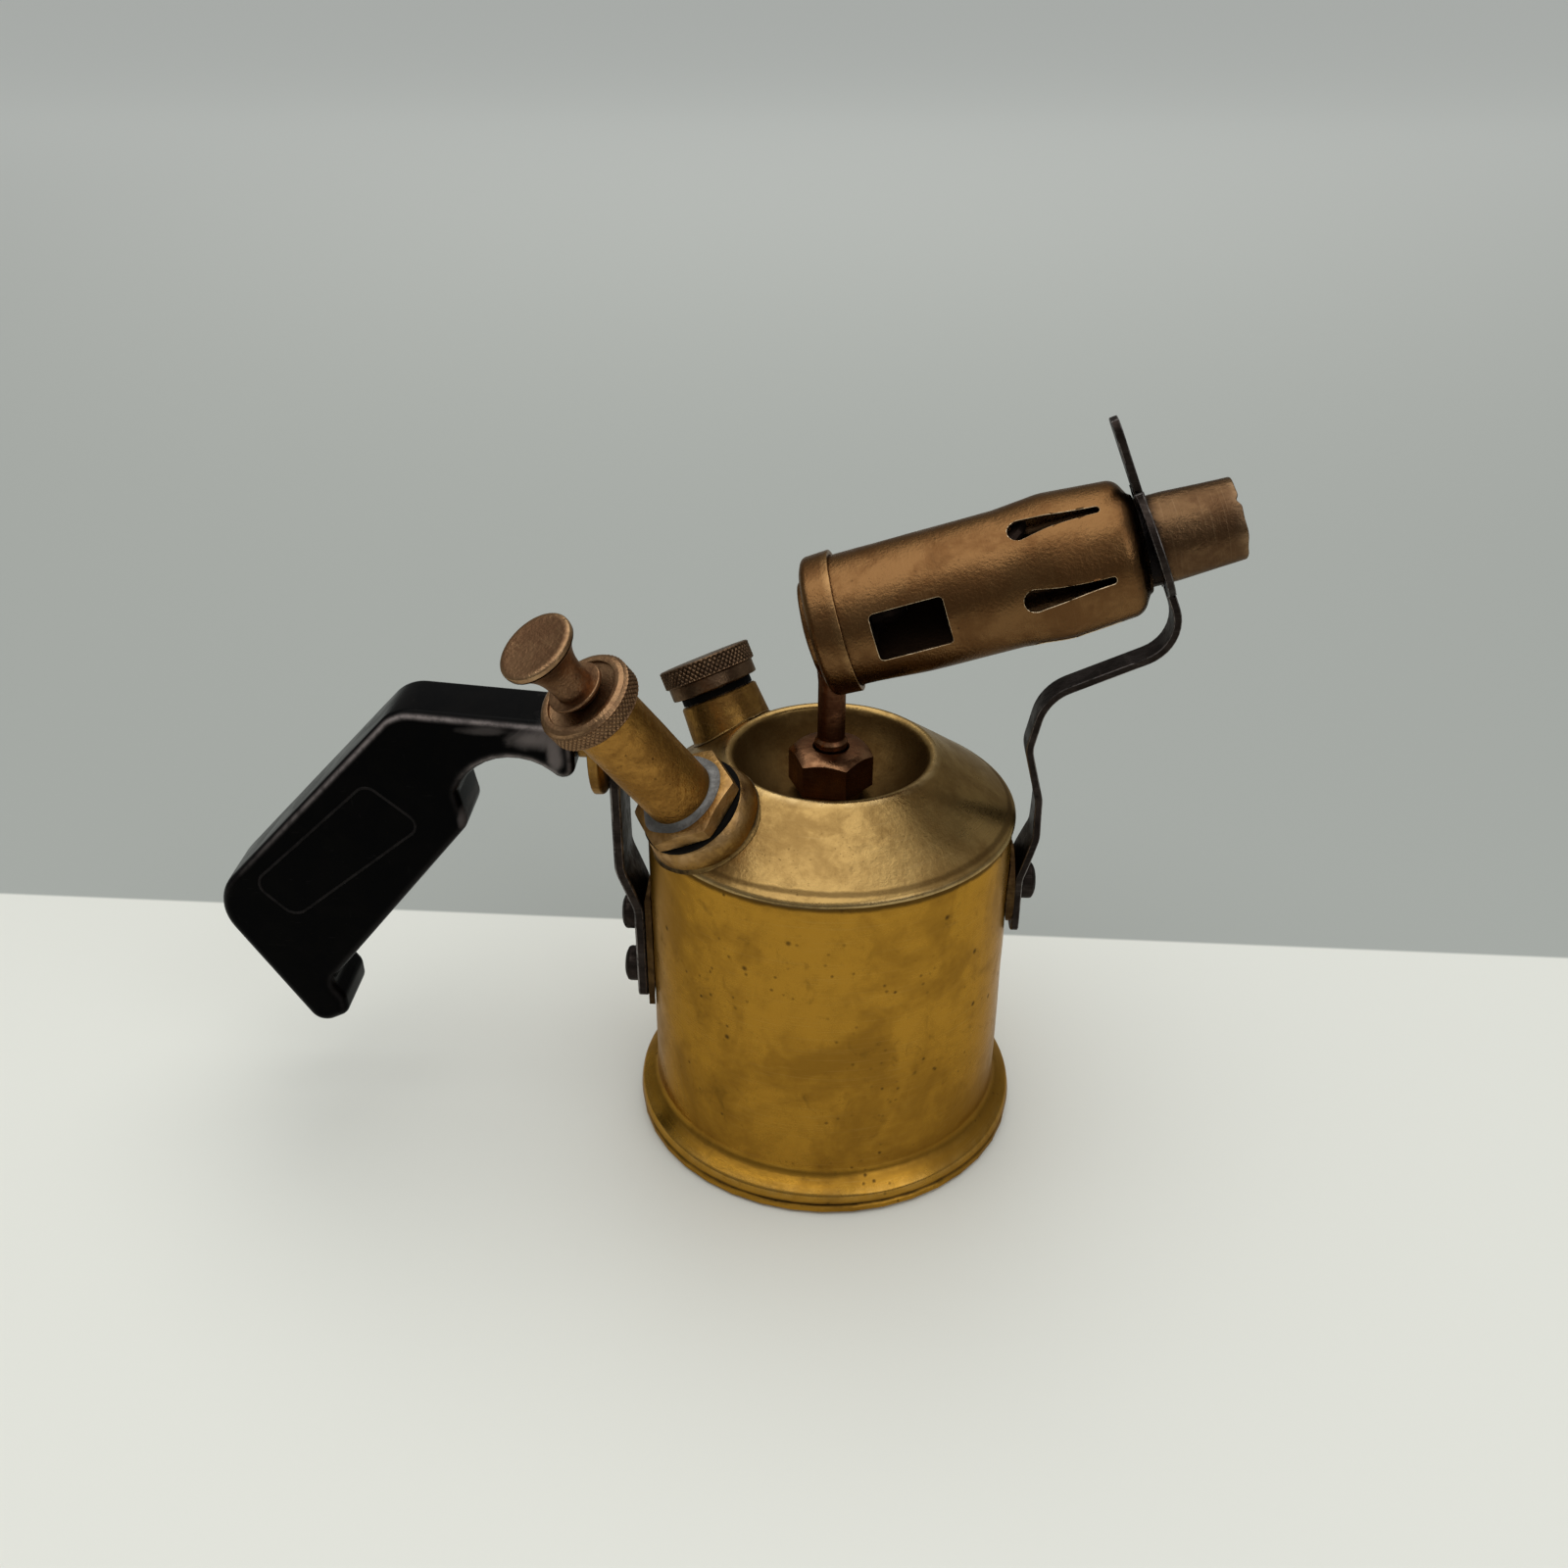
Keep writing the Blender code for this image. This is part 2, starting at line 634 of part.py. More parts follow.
def make_tank():
    """Make the tank's body, base plate and shoulder."""
    flare = []
    for k in range(FLARE_STEPS + 1):
        share = k / FLARE_STEPS
        radius = TANK_RADIUS + FOOT_SPREAD * share ** FOOT_FLARE_POWER
        flare.append((radius, FOOT_FLARE_TOP + (FOOT_BEAD_TOP - FOOT_FLARE_TOP) * share))
    body_line = [(TANK_RADIUS, SEAM_HEIGHT)] + flare + [
        (FOOT_RADIUS, FOOT_BEAD_BOTTOM),
        (FOOT_RADIUS - FOOT_SEAM_DEPTH, FOOT_SEAM),
    ]
    body = turned("tank_body", sheet(body_line, TANK_WALL), "aged_brass")

    rim = FOOT_RADIUS - PLATE_RIM_INSET
    flange = FOOT_RADIUS - FOOT_SEAM_DEPTH - TANK_WALL - GAP * 2
    disc = rim - PLATE_WALL * 2 - PLATE_GROOVE_WIDTH
    base_line = [
        (0.0, PLATE_WALL),
        (disc - PLATE_WALL, PLATE_WALL),
        (disc, PLATE_WALL + PLATE_GROOVE_DEPTH),
        (flange - PLATE_WALL, PLATE_WALL + PLATE_GROOVE_DEPTH),
        (flange - PLATE_WALL, PLATE_TOP + PLATE_FLANGE_RISE),
        (flange, PLATE_TOP + PLATE_FLANGE_RISE),
        (flange, PLATE_TOP),
        (rim - PLATE_WALL / 2, PLATE_TOP),
        (rim, PLATE_TOP - PLATE_WALL / 2),
        (rim, PLATE_WALL),
        (rim - PLATE_WALL, 0.0),
        (rim - PLATE_WALL * 2, 0.0),
        (rim - PLATE_WALL * 2, PLATE_GROOVE_DEPTH),
        (disc, PLATE_GROOVE_DEPTH),
        (disc, 0.0),
        (0.0, 0.0),
    ]
    turned("tank_base", base_line, "aged_brass", ring=False)

    skirt = TANK_RADIUS - TANK_WALL - GAP
    bowl_line = [
        (SOCKET_RADIUS + GAP, BOWL_FLOOR),
        (BOWL_FLOOR_RADIUS, BOWL_FLOOR),
        (BOWL_RADIUS - BOWL_HEEL_INSET, BOWL_FLOOR + BOWL_HEEL_RISE),
    ]
    skirt_line = [
        (skirt, LIP_HEIGHT),
        (skirt, SEAM_HEIGHT - SHOULDER_SKIRT),
    ]
    top = turned("tank_top", sheet(bowl_line + shoulder_line() + skirt_line, TANK_WALL), "shoulder_brass")
    return body, top


def shoulder_envelope():
    """Return a cutter that fills the shoulder, its bowl rim and one gap above it."""
    floor = SEAM_HEIGHT - SHOULDER_SKIRT - OVERRUN
    edge = SHOULDER_EDGE_RADIUS
    outer = offset([
        (0.0, RIM_HEIGHT),
        (BOWL_RADIUS, RIM_HEIGHT),
        (edge, cone_height(edge)),
        (edge, floor),
    ], -GAP)
    return turned("shoulder_envelope", outer + [(0.0, floor)], ring=False)


def make_riser():
    """Make the riser's socket, union nut and pipe, and the pickup tube in the tank."""
    bore = SOCKET_RADIUS - SOCKET_WALL
    flange_top = BOWL_FLOOR + GAP + SOCKET_FLANGE_THICKNESS
    turned("riser_socket", [
        (bore, BOWL_FLOOR + SOCKET_LENGTH_ABOVE),
        (SOCKET_RADIUS, BOWL_FLOOR + SOCKET_LENGTH_ABOVE),
        (SOCKET_RADIUS, flange_top),
        (SOCKET_FLANGE, flange_top),
        (SOCKET_FLANGE, BOWL_FLOOR + GAP),
        (SOCKET_RADIUS, BOWL_FLOOR + GAP),
        (SOCKET_RADIUS, BOWL_FLOOR - SOCKET_LENGTH_BELOW),
        (bore, BOWL_FLOOR - SOCKET_LENGTH_BELOW),
    ], "aged_brass", steps=SMALL_STEPS)

    nut_bottom = flange_top + GAP
    nut = prism("burner_nut", NUT_FLATS, nut_bottom, NUT_TOP, "red_brass", turn=NUT_TURN, chamfer=NUT_CHAMFER)
    roof = NUT_TOP - NUT_ROOF
    combine(nut, turned("nut_cavity", [
        (0.0, NUT_TOP + OVERRUN),
        (RISER_RADIUS + GAP, NUT_TOP + OVERRUN),
        (RISER_RADIUS + GAP, roof),
        (SOCKET_RADIUS + GAP, roof),
        (SOCKET_RADIUS + GAP, nut_bottom - OVERRUN),
        (0.0, nut_bottom - OVERRUN),
    ], steps=SMALL_STEPS, ring=False))

    seat = BOWL_FLOOR + SOCKET_LENGTH_ABOVE + GAP
    pipe_top = BURNER_HEIGHT - BURNER_REACH * math.tan(BURNER_SLOPE) - HEAD_SOCKET_DEPTH
    turned("riser_pipe", [
        (RISER_BORE, pipe_top),
        (RISER_RADIUS, pipe_top),
        (RISER_RADIUS, NUT_TOP + GAP + COLLAR_HEIGHT),
        (RISER_COLLAR, NUT_TOP + GAP + COLLAR_HEIGHT),
        (RISER_COLLAR, NUT_TOP + GAP),
        (RISER_RADIUS, NUT_TOP + GAP),
        (RISER_RADIUS, roof - GAP),
        (RISER_FLANGE, roof - GAP),
        (RISER_FLANGE, seat),
        (RISER_BORE, seat),
    ], "red_brass", steps=SMALL_STEPS)

    pickup_top = BOWL_FLOOR + SOCKET_LENGTH_ABOVE / 2
    pickup_bottom = PLATE_WALL + PICKUP_FLOOR_GAP
    turned("pickup_tube", [
        (PICKUP_BORE, pickup_top),
        (PICKUP_RADIUS, pickup_top),
        (PICKUP_RADIUS, pickup_bottom),
        (PICKUP_BORE, pickup_bottom),
    ], "aged_brass", steps=SMALL_STEPS)
    return pipe_top


def burner_point(angle, radius, forward):
    """Return a point in the burner's frame; angle 0 faces -Y and turns toward the top."""
    return (radius * math.sin(angle), radius * math.cos(angle), forward)


def radial_matrix(angle, radius, forward):
    """Return a frame on the burner whose X runs forward and whose Z points out at an angle."""
    out = Vector(burner_point(angle, 1.0, 0.0))
    ahead = Vector((0.0, 0.0, 1.0))
    side = out.cross(ahead)
    rotation = Matrix((ahead, side, out)).transposed().to_4x4()
    return Matrix.Translation(burner_point(angle, radius, forward)) @ rotation


def teardrop():
    """Return the outline of a slot that narrows forward, centred on its fat end."""
    span = SLOT_FRONT - SLOT_REAR - SLOT_FAT_RADIUS - SLOT_TIP_RADIUS
    lean = math.acos((SLOT_FAT_RADIUS - SLOT_TIP_RADIUS) / span)
    points = []
    for k in range(ARC_STEPS * 2 + 1):
        angle = lean + (math.tau - 2 * lean) * k / (ARC_STEPS * 2)
        points.append((SLOT_FAT_RADIUS * math.cos(angle), SLOT_FAT_RADIUS * math.sin(angle)))
    for k in range(ARC_STEPS + 1):
        angle = -lean + 2 * lean * k / ARC_STEPS
        points.append((span + SLOT_TIP_RADIUS * math.cos(angle), SLOT_TIP_RADIUS * math.sin(angle)))
    return points


def cover_line():
    """Return the cover's outer face from its front neck back to its rear edge."""
    neck = FLAME_TUBE_RADIUS + GAP + COVER_WALL
    belly = COVER_BELLY_RADIUS
    swell = (COVER_BELLY_RADIUS + COVER_REAR_RADIUS) / 2
    front = rounded([
        (neck, COVER_FRONT, 0.0),
        (neck + COVER_NECK_FLARE, COVER_NECK, COVER_NECK_ROUND),
        (belly - COVER_WALL, COVER_SHOULDER, COVER_SHOULDER_ROUND),
        (belly, COVER_BELLY, 0.0),
    ])
    return front + [
        (swell, (COVER_BELLY + COVER_REAR) / 2),
        (COVER_REAR_RADIUS, CAP_FRONT),
        (COVER_REAR_RADIUS, COVER_REAR),
    ]


def make_burner(pipe_top):
    """Make the burner's end cap, head, jet, vaporiser loop, cover and flame tube."""
    forward = Vector((math.cos(BURNER_SLOPE), 0.0, math.sin(BURNER_SLOPE)))
    upward = Vector((-math.sin(BURNER_SLOPE), 0.0, math.cos(BURNER_SLOPE)))
    axis = axis_empty("burner_axis", Vector((BURNER_REACH, 0.0, BURNER_HEIGHT)), forward, upward)

    inner = CAP_RADIUS - CAP_WALL
    back_line = rounded([
        (CAP_RADIUS, CAP_FRONT, 0.0),
        (CAP_RADIUS, CAP_REAR, CAP_EDGE_ROUND),
        (CAP_RADIUS / 2, CAP_REAR - CAP_DOME * 3 / 4, CAP_RADIUS),
        (0.0, CAP_REAR - CAP_DOME, 0.0),
    ])
    inside = [(0.0, CAP_REAR + CAP_WALL), (inner, CAP_REAR + CAP_WALL), (inner, CAP_FRONT)]
    cap = turned("burner_end_cap", inside + back_line, "heat_brass", axis, MIDDLE_STEPS, ring=False)
    shaft = cylinder("riser_passage", RISER_RADIUS + GAP, NUT_TOP, pipe_top + GAP, steps=SMALL_STEPS)
    combine(cap, shaft)

    head_radius = COVER_REAR_RADIUS - COVER_WALL - GAP
    head_rear = CAP_REAR + CAP_WALL + GAP
    hub_front = HEAD_FRONT + HEAD_HUB_LENGTH
    head = turned("vaporiser_head", [
        (0.0, hub_front),
        (HEAD_HUB_RADIUS, hub_front),
        (HEAD_HUB_RADIUS, HEAD_FRONT),
        (head_radius, HEAD_FRONT),
        (head_radius, head_rear),
        (0.0, head_rear),
    ], "red_brass", axis, MIDDLE_STEPS, ring=False)
    combine(head, shaft)

    jet_rear = hub_front + GAP
    jet_hex = (JET_LENGTH - JET_RADIUS) / 2
    jet = prism("jet_nipple", JET_HEX_FLATS, jet_rear, jet_rear + jet_hex, "aged_brass", axis)
    combine(jet, turned("jet_body", [
        (0.0, jet_rear + JET_LENGTH),
        (JET_TIP_RADIUS, jet_rear + JET_LENGTH),
        (JET_RADIUS, jet_rear + jet_hex * 2),
        (JET_RADIUS, jet_rear + jet_hex / 2),
        (0.0, jet_rear + jet_hex / 2),
    ], parent=axis, steps=SMALL_STEPS, ring=False), "UNION")

    track = (head_radius + FLAME_TUBE_RADIUS) / 2
    loop = []
    for k in range(ARC_STEPS * 2 + 1):
        share = k / (ARC_STEPS * 2)
        angle = math.pi / 2 + LOOP_HALF_ANGLE * math.cos(math.pi * share)
        reach = track * math.sin(LOOP_HALF_ANGLE) * math.sin(math.pi * share)
        loop.append(burner_point(angle, track, LOOP_FRONT + reach))
    start = burner_point(math.pi / 2 + LOOP_HALF_ANGLE, track, HEAD_FRONT + GAP)
    finish = burner_point(math.pi / 2 - LOOP_HALF_ANGLE, track, HEAD_FRONT + GAP)
    tube("vaporiser_loop", [start] + loop + [finish], LOOP_RADIUS, "red_brass", axis)

    cover = turned("burner_cover", sheet(cover_line(), COVER_WALL), "heat_brass", axis, LARGE_STEPS)
    half = (WINDOW_FRONT - WINDOW_REAR) / 2
    middle = (WINDOW_FRONT + WINDOW_REAR) / 2
    wide = WINDOW_WIDTH / 2
    window = rounded([
        (-half, -wide, WINDOW_CORNER),
        (half, -wide, WINDOW_CORNER),
        (half, wide, WINDOW_CORNER),
        (-half, wide, WINDOW_CORNER),
    ], closed=True)
    for number, angle in enumerate((WINDOW_ANGLE, math.pi - WINDOW_ANGLE)):
        place = radial_matrix(angle, COVER_REAR_RADIUS, middle)
        combine(cover, plate(f"window_cutter_{number}", window, OVERRUN * 2, None, axis, place))
    for number in range(SLOT_COUNT):
        place = radial_matrix(math.tau * number / SLOT_COUNT, COVER_BELLY_RADIUS, SLOT_REAR + SLOT_FAT_RADIUS)
        combine(cover, plate(f"slot_cutter_{number}", teardrop(), OVERRUN * 2, None, axis, place))

    tube_line = [
        (FLAME_MOUTH_RADIUS, FLAME_TUBE_FRONT),
        (FLAME_TUBE_RADIUS, RING_PLACE + SUPPORT_THICKNESS),
        (FLAME_TUBE_RADIUS, FLAME_TUBE_REAR),
    ]
    turned("flame_tube", sheet(tube_line, FLAME_TUBE_WALL), "heat_brass", axis, MIDDLE_STEPS)
    return axis


def make_support_strap(axis):
    """Make the strap whose leaning ring carries the burner's front end, on a boss at the tank's side."""
    slope = BURNER_SLOPE
    centre = Vector((BURNER_REACH, BURNER_HEIGHT)) + Vector((math.cos(slope), math.sin(slope))) * RING_PLACE
    upward = Vector((-math.sin(RING_LEAN), math.cos(RING_LEAN)))
    knee = Vector((SUPPORT_X + SUPPORT_KNEE_OUT, SUPPORT_KNEE))
    across = Vector((-math.sin(SUPPORT_RUN_SLOPE), math.cos(SUPPORT_RUN_SLOPE)))
    elbow = centre - upward * ((centre - knee).dot(across) / upward.dot(across))
    path = rounded([
        (SUPPORT_X, SUPPORT_FOOT, 0.0),
        (SUPPORT_X, SUPPORT_JOG_LOW, SUPPORT_BEND),
        (SUPPORT_X + SUPPORT_JOG, SUPPORT_JOG_HIGH, SUPPORT_BEND),
        (SUPPORT_X + SUPPORT_JOG, SUPPORT_BULGE_TOP, SUPPORT_BEND),
        (SUPPORT_X, SUPPORT_WAIST, SUPPORT_BEND),
        (*knee, SUPPORT_KNEE_BEND),
        (*elbow, SUPPORT_ELBOW_BEND),
        (*(centre + upward * RING_TAB), 0.0),
    ])
    widths = []
    for _, height in path:
        share = (SUPPORT_BULGE_TOP - height) / (SUPPORT_BULGE_TOP - SUPPORT_JOG_LOW)
        widths.append(SUPPORT_STEM + (SUPPORT_LEAF - SUPPORT_STEM) * min(max(share, 0.0), 1.0))
    strap = strip("support_strap", path, widths, SUPPORT_THICKNESS, "dark_steel")
    forward = Vector((upward.y, 0.0, -upward.x))
    plane = axis_empty("ring_axis", Vector((centre.x, 0.0, centre.y)), forward, Vector((upward.x, 0.0, upward.y)))
    half = SUPPORT_THICKNESS / 2 - RING_SETBACK
    combine(strap, cylinder("ring_disc", RING_OUTER, -half, half, parent=plane), "UNION")
    bore = FLAME_TUBE_RADIUS + GAP
    combine(strap, cylinder("ring_bore", bore, RING_PLACE - OVERRUN, RING_PLACE + OVERRUN, parent=axis))
    place = along_x(SUPPORT_X, SUPPORT_SCREW_HEIGHT)
    hole = SCREW_RADIUS + GAP
    combine(strap, cylinder("support_hole", hole, -OVERRUN, OVERRUN, None, None, place, SMALL_STEPS))


def make_handle_strap():
    """Make the strap that carries the grip on a pad at the tank's side."""
    top = GRIP_BOLT_HEIGHT + HANDLE_TOP_MARGIN
    path = rounded([
        (HANDLE_X, HANDLE_FOOT, 0.0),
        (HANDLE_X, HANDLE_JOG_LOW, HANDLE_BEND),
        (HANDLE_X - HANDLE_JOG, HANDLE_JOG_HIGH, HANDLE_BEND),
        (HANDLE_X - HANDLE_JOG, top, 0.0),
    ])
    widths = [HANDLE_STRAP_WIDTH] * len(path)
    strap = strip("handle_strap", path, widths, HANDLE_THICKNESS, "dark_steel")
    holes = [
        (HANDLE_X, HANDLE_SCREW_UPPER, SCREW_RADIUS),
        (HANDLE_X, HANDLE_SCREW_LOWER, SCREW_RADIUS),
        (HANDLE_X - HANDLE_JOG, GRIP_BOLT_HEIGHT, GRIP_BOLT_RADIUS),
    ]
    for number, (x, z, radius) in enumerate(holes):
        cutter = cylinder(f"handle_hole_{number}", radius + GAP, -OVERRUN, OVERRUN, None, None, along_x(x, z),
                          SMALL_STEPS)
        combine(strap, cutter)


def finish_pad(pad, body, side, heights):
    """Fit a strap's pad to the tank wall, with a blind plug through the wall for each screw."""
    outer = TANK_RADIUS + PAD_PROUD
    depth = SCREW_LENGTH + GAP + PLUG_FLOOR
    plug_radius = SCREW_RADIUS + GAP + PLUG_WALL
    for height in heights:
        place = along_x(0.0, height)
        ends = sorted((side * outer, side * (outer - depth)))
        combine(pad, cylinder(f"{pad.name}_plug", plug_radius, *ends, None, None, place, SMALL_STEPS), "UNION")
        ends = sorted((side * (outer + OVERRUN), side * (outer - SCREW_LENGTH - GAP)))
        combine(pad, cylinder(f"{pad.name}_bore", SCREW_RADIUS + GAP, *ends, None, None, place, SMALL_STEPS))
        ends = sorted((side * (outer + OVERRUN), side * (outer - depth)))
        combine(body, cylinder(f"{pad.name}_wall", plug_radius + GAP, *ends, None, None, place, SMALL_STEPS))


def make_pads(body):
    """Make the brass pads that the straps are screwed to."""
    outer = TANK_RADIUS + PAD_PROUD
    wall = cylinder("pad_wall_cutter", TANK_RADIUS + GAP, 0.0, SEAM_HEIGHT, steps=LARGE_STEPS)
    place = along_x(0.0, SUPPORT_SCREW_HEIGHT)
    boss = cylinder("support_boss", SUPPORT_BOSS_RADIUS, outer - PAD_DEPTH, outer, "aged_brass", None, place)
    combine(boss, wall)
    finish_pad(boss, body, 1, [SUPPORT_SCREW_HEIGHT])
    half = HANDLE_PAD_WIDTH / 2
    low = (-outer, -half, HANDLE_PAD_BOTTOM)
    pad = box("handle_pad", low, (PAD_DEPTH - outer, half, HANDLE_PAD_TOP), "aged_brass")
    combine(pad, wall)
    finish_pad(pad, body, -1, [HANDLE_SCREW_UPPER, HANDLE_SCREW_LOWER])


def make_screw(name, side, face, height):
    """Make a cheese-head screw that runs in through a strap's outer face."""
    head = face + GAP
    tip = TANK_RADIUS + PAD_PROUD - SCREW_LENGTH
    crown = head + SCREW_HEAD_HEIGHT
    place = Matrix.Translation((0.0, 0.0, height)) @ Matrix.Rotation(side * math.pi / 2, 4, "Y")
    turned(name, [
        (0.0, crown),
        (SCREW_HEAD_RADIUS - SCREW_HEAD_CHAMFER, crown),
        (SCREW_HEAD_RADIUS, crown - SCREW_HEAD_CHAMFER),
        (SCREW_HEAD_RADIUS, head),
        (SCREW_RADIUS, head),
        (SCREW_RADIUS, tip),
        (0.0, tip),
    ], "dark_steel", steps=SMALL_STEPS, ring=False, matrix=place)


def make_grip():
    """Make the pistol grip, its brass collar and its bolt."""
    outline = [
        (GRIP_FRONT - x * GRIP_REACH, GRIP_BOLT_HEIGHT + (z - GRIP_BOLT_share) * GRIP_DROP, radius * GRIP_REACH)
        for x, z, radius in GRIP_OUTLINE_shares
    ]
    stand = Matrix.Rotation(math.pi / 2, 4, "X")
    grip = cushion("grip", outline, GRIP_DEPTH, GRIP_EDGE, "bakelite", stand)
    bore = GRIP_BOLT_RADIUS + GAP
    place = along_x(GRIP_FRONT, GRIP_BOLT_HEIGHT)
    combine(grip, cylinder("grip_bore", bore, -GRIP_BOLT_DEPTH - GAP, OVERRUN, None, None, place, SMALL_STEPS))

    back = Matrix.Translation((HANDLE_FACE, 0.0, GRIP_BOLT_HEIGHT)) @ Matrix.Rotation(-math.pi / 2, 4, "Y")
    turned("grip_collar", [
        (bore, GRIP_STANDOFF - GAP),
        (COLLAR_HUB, GRIP_STANDOFF - GAP),
        (COLLAR_HUB, GAP + COLLAR_WALL),
        (COLLAR_RADIUS - COLLAR_WALL * 2, GAP + COLLAR_WALL),
        (COLLAR_RADIUS - COLLAR_WALL, GAP + COLLAR_WALL * 2),
        (COLLAR_RADIUS - COLLAR_WALL, COLLAR_CUP_DEPTH),
        (COLLAR_RADIUS, COLLAR_CUP_DEPTH),
        (COLLAR_RADIUS, GAP + COLLAR_WALL),
        (COLLAR_RADIUS - COLLAR_WALL, GAP),
        (bore, GAP),
    ], "aged_brass", steps=MIDDLE_STEPS, matrix=back)

    nut_end = -HANDLE_THICKNESS - GAP
    bolt = prism("grip_bolt", GRIP_NUT_FLATS, nut_end - GRIP_NUT_HEIGHT, nut_end, "dark_steel")
    bolt.matrix_local = back
    combine(bolt, cylinder("grip_bolt_shank", GRIP_BOLT_RADIUS, nut_end - GRIP_NUT_HEIGHT / 2,
                           GRIP_STANDOFF + GRIP_BOLT_DEPTH, None, None, back, SMALL_STEPS), "UNION")


def make_pump(top, envelope):
    """Make the hand pump and return the matrix of its axis."""
    axis = leaning_axis("pump_axis", PUMP_AZIMUTH, PUMP_ELEVATION, PUMP_SEAT_RADIUS)
    plunger = bpy.data.objects.new("plunger_slide", None)
    LAMP.objects.link(plunger)
    plunger.parent = axis
    clear = BARREL_RADIUS + GAP
    combine(top, cylinder("pump_hole", clear, BOSS_SKIRT - OVERRUN, BOSS_TOP, parent=axis))
    boss = turned("pump_boss", [
        (clear, BOSS_TOP),
        (BOSS_TOP_RADIUS, BOSS_TOP),
        (BOSS_FOOT_RADIUS, BOSS_FOOT),
        (BOSS_FOOT_RADIUS, BOSS_SKIRT),
        (clear, BOSS_SKIRT),
    ], "aged_brass", axis, MIDDLE_STEPS)
    combine(boss, envelope)
    turned("pump_gasket", [
        (clear, GASKET_BOTTOM + GASKET_THICKNESS),
        (BOSS_TOP_RADIUS, GASKET_BOTTOM + GASKET_THICKNESS),
        (BOSS_TOP_RADIUS, GASKET_BOTTOM),
        (clear, GASKET_BOTTOM),
    ], "black_seal", axis, MIDDLE_STEPS)
    hexagon = prism("pump_hex", HEX_FLATS, HEX_BOTTOM, HEX_BOTTOM + HEX_THICKNESS, "aged_brass", axis,
                    HEX_TURN, chamfer=HEX_CHAMFER)
    combine(hexagon, cylinder("hex_bore", clear, HEX_BOTTOM - OVERRUN, HEX_BOTTOM + HEX_THICKNESS + OVERRUN,
                              parent=axis))
    bore = BARREL_RADIUS - BARREL_WALL
    turned("pump_barrel", [
        (bore, BARREL_TOP),
        (BARREL_RADIUS, BARREL_TOP),
        (BARREL_RADIUS, BARREL_BOTTOM),
        (bore, BARREL_BOTTOM),
    ], "aged_brass", axis, MIDDLE_STEPS)
    roof = BARREL_TOP + GAP
    cap_face = PUMP_CAP_TOP - PUMP_CAP_RECESS
    turned("pump_cap", [
        (ROD_RADIUS + GAP, cap_face),
        (PUMP_CAP_RECESS_RADIUS, cap_face),
        (PUMP_CAP_RECESS_RADIUS, PUMP_CAP_TOP),
        (PUMP_CAP_FACE_RADIUS, PUMP_CAP_TOP),
        (PUMP_CAP_RADIUS, PUMP_CAP_TOP - PUMP_CAP_RECESS),
        (PUMP_CAP_RADIUS, PUMP_CAP_BOTTOM),
        (clear, PUMP_CAP_BOTTOM),
        (clear, roof),
        (bore - GAP, roof),
        (bore - GAP, roof - BARREL_WALL * 4),
        (ROD_RADIUS + GAP, roof - BARREL_WALL * 4),
    ], "copper_brown", axis, MIDDLE_STEPS)
    make_plunger(plunger, bore, cap_face)
    make_valve(axis, bore)


def make_plunger(plunger, bore, cap_face):
    """Make the knob, rod, piston, cup leather and nut that slide together."""
    knob_foot = cap_face + GAP
    stem = []
    for k in range(KNOB_CURVE_STEPS + 1):
        angle = math.pi * k / KNOB_CURVE_STEPS
        share = (1 - math.cos(angle)) / 2
        radius = KNOB_STEM_RADIUS + (KNOB_DISC_RADIUS - KNOB_STEM_RADIUS) * (1 - share) ** 3
        stem.append((radius, KNOB_DISC + (KNOB_FLANGE + BARREL_WALL - KNOB_DISC) * share))
    rod_clear = ROD_RADIUS + GAP
    rod_top = KNOB_TOP - ROD_TOP_MARGIN
    turned("pump_knob", [
        (0.0, KNOB_TOP),
        (KNOB_DISC_RADIUS - BARREL_WALL, KNOB_TOP),
        (KNOB_DISC_RADIUS, KNOB_TOP - BARREL_WALL),
    ] + stem + [
        (KNOB_FLANGE_RADIUS, KNOB_FLANGE + BARREL_WALL),
        (KNOB_FLANGE_RADIUS, KNOB_FLANGE),
        (KNOB_STEM_RADIUS, knob_foot),
        (rod_clear, knob_foot),
        (rod_clear, rod_top),
        (0.0, rod_top),
    ], "copper_brown", plunger, MIDDLE_STEPS, ring=False)
    nut_top = PISTON_BOTTOM - LEATHER_WALL - GAP * 2
    rod_bottom = nut_top - PISTON_NUT_HEIGHT - ROD_RADIUS / 2
    turned("pump_rod", [
        (0.0, rod_top - GAP),
        (ROD_RADIUS, rod_top - GAP),
        (ROD_RADIUS, rod_bottom),
        (0.0, rod_bottom),
    ], "dark_steel", plunger, SMALL_STEPS, ring=False)
    turned("pump_piston", [
        (rod_clear, PISTON_TOP),
        (PISTON_RADIUS, PISTON_TOP),
        (PISTON_RADIUS, PISTON_BOTTOM),
        (rod_clear, PISTON_BOTTOM),
    ], "aged_brass", plunger, SMALL_STEPS)
    leather_top = PISTON_BOTTOM - GAP
    edge = bore - GAP
    turned("pump_leather", [
        (rod_clear, leather_top),
        (edge - LEATHER_WALL, leather_top),
        (edge, leather_top - LEATHER_WALL),
        (edge, leather_top - LEATHER_DEPTH),
        (edge - LEATHER_WALL, leather_top - LEATHER_DEPTH),
        (edge - LEATHER_WALL, leather_top - LEATHER_WALL),
        (rod_clear, leather_top - LEATHER_WALL),
    ], "leather", plunger, SMALL_STEPS)
    nut = prism("pump_nut", PISTON_NUT_FLATS, nut_top - PISTON_NUT_HEIGHT, nut_top, "aged_brass", plunger)
    combine(nut, cylinder("pump_nut_bore", rod_clear, nut_top - PISTON_NUT_HEIGHT - OVERRUN, nut_top + OVERRUN,
                          parent=plunger, steps=SMALL_STEPS))


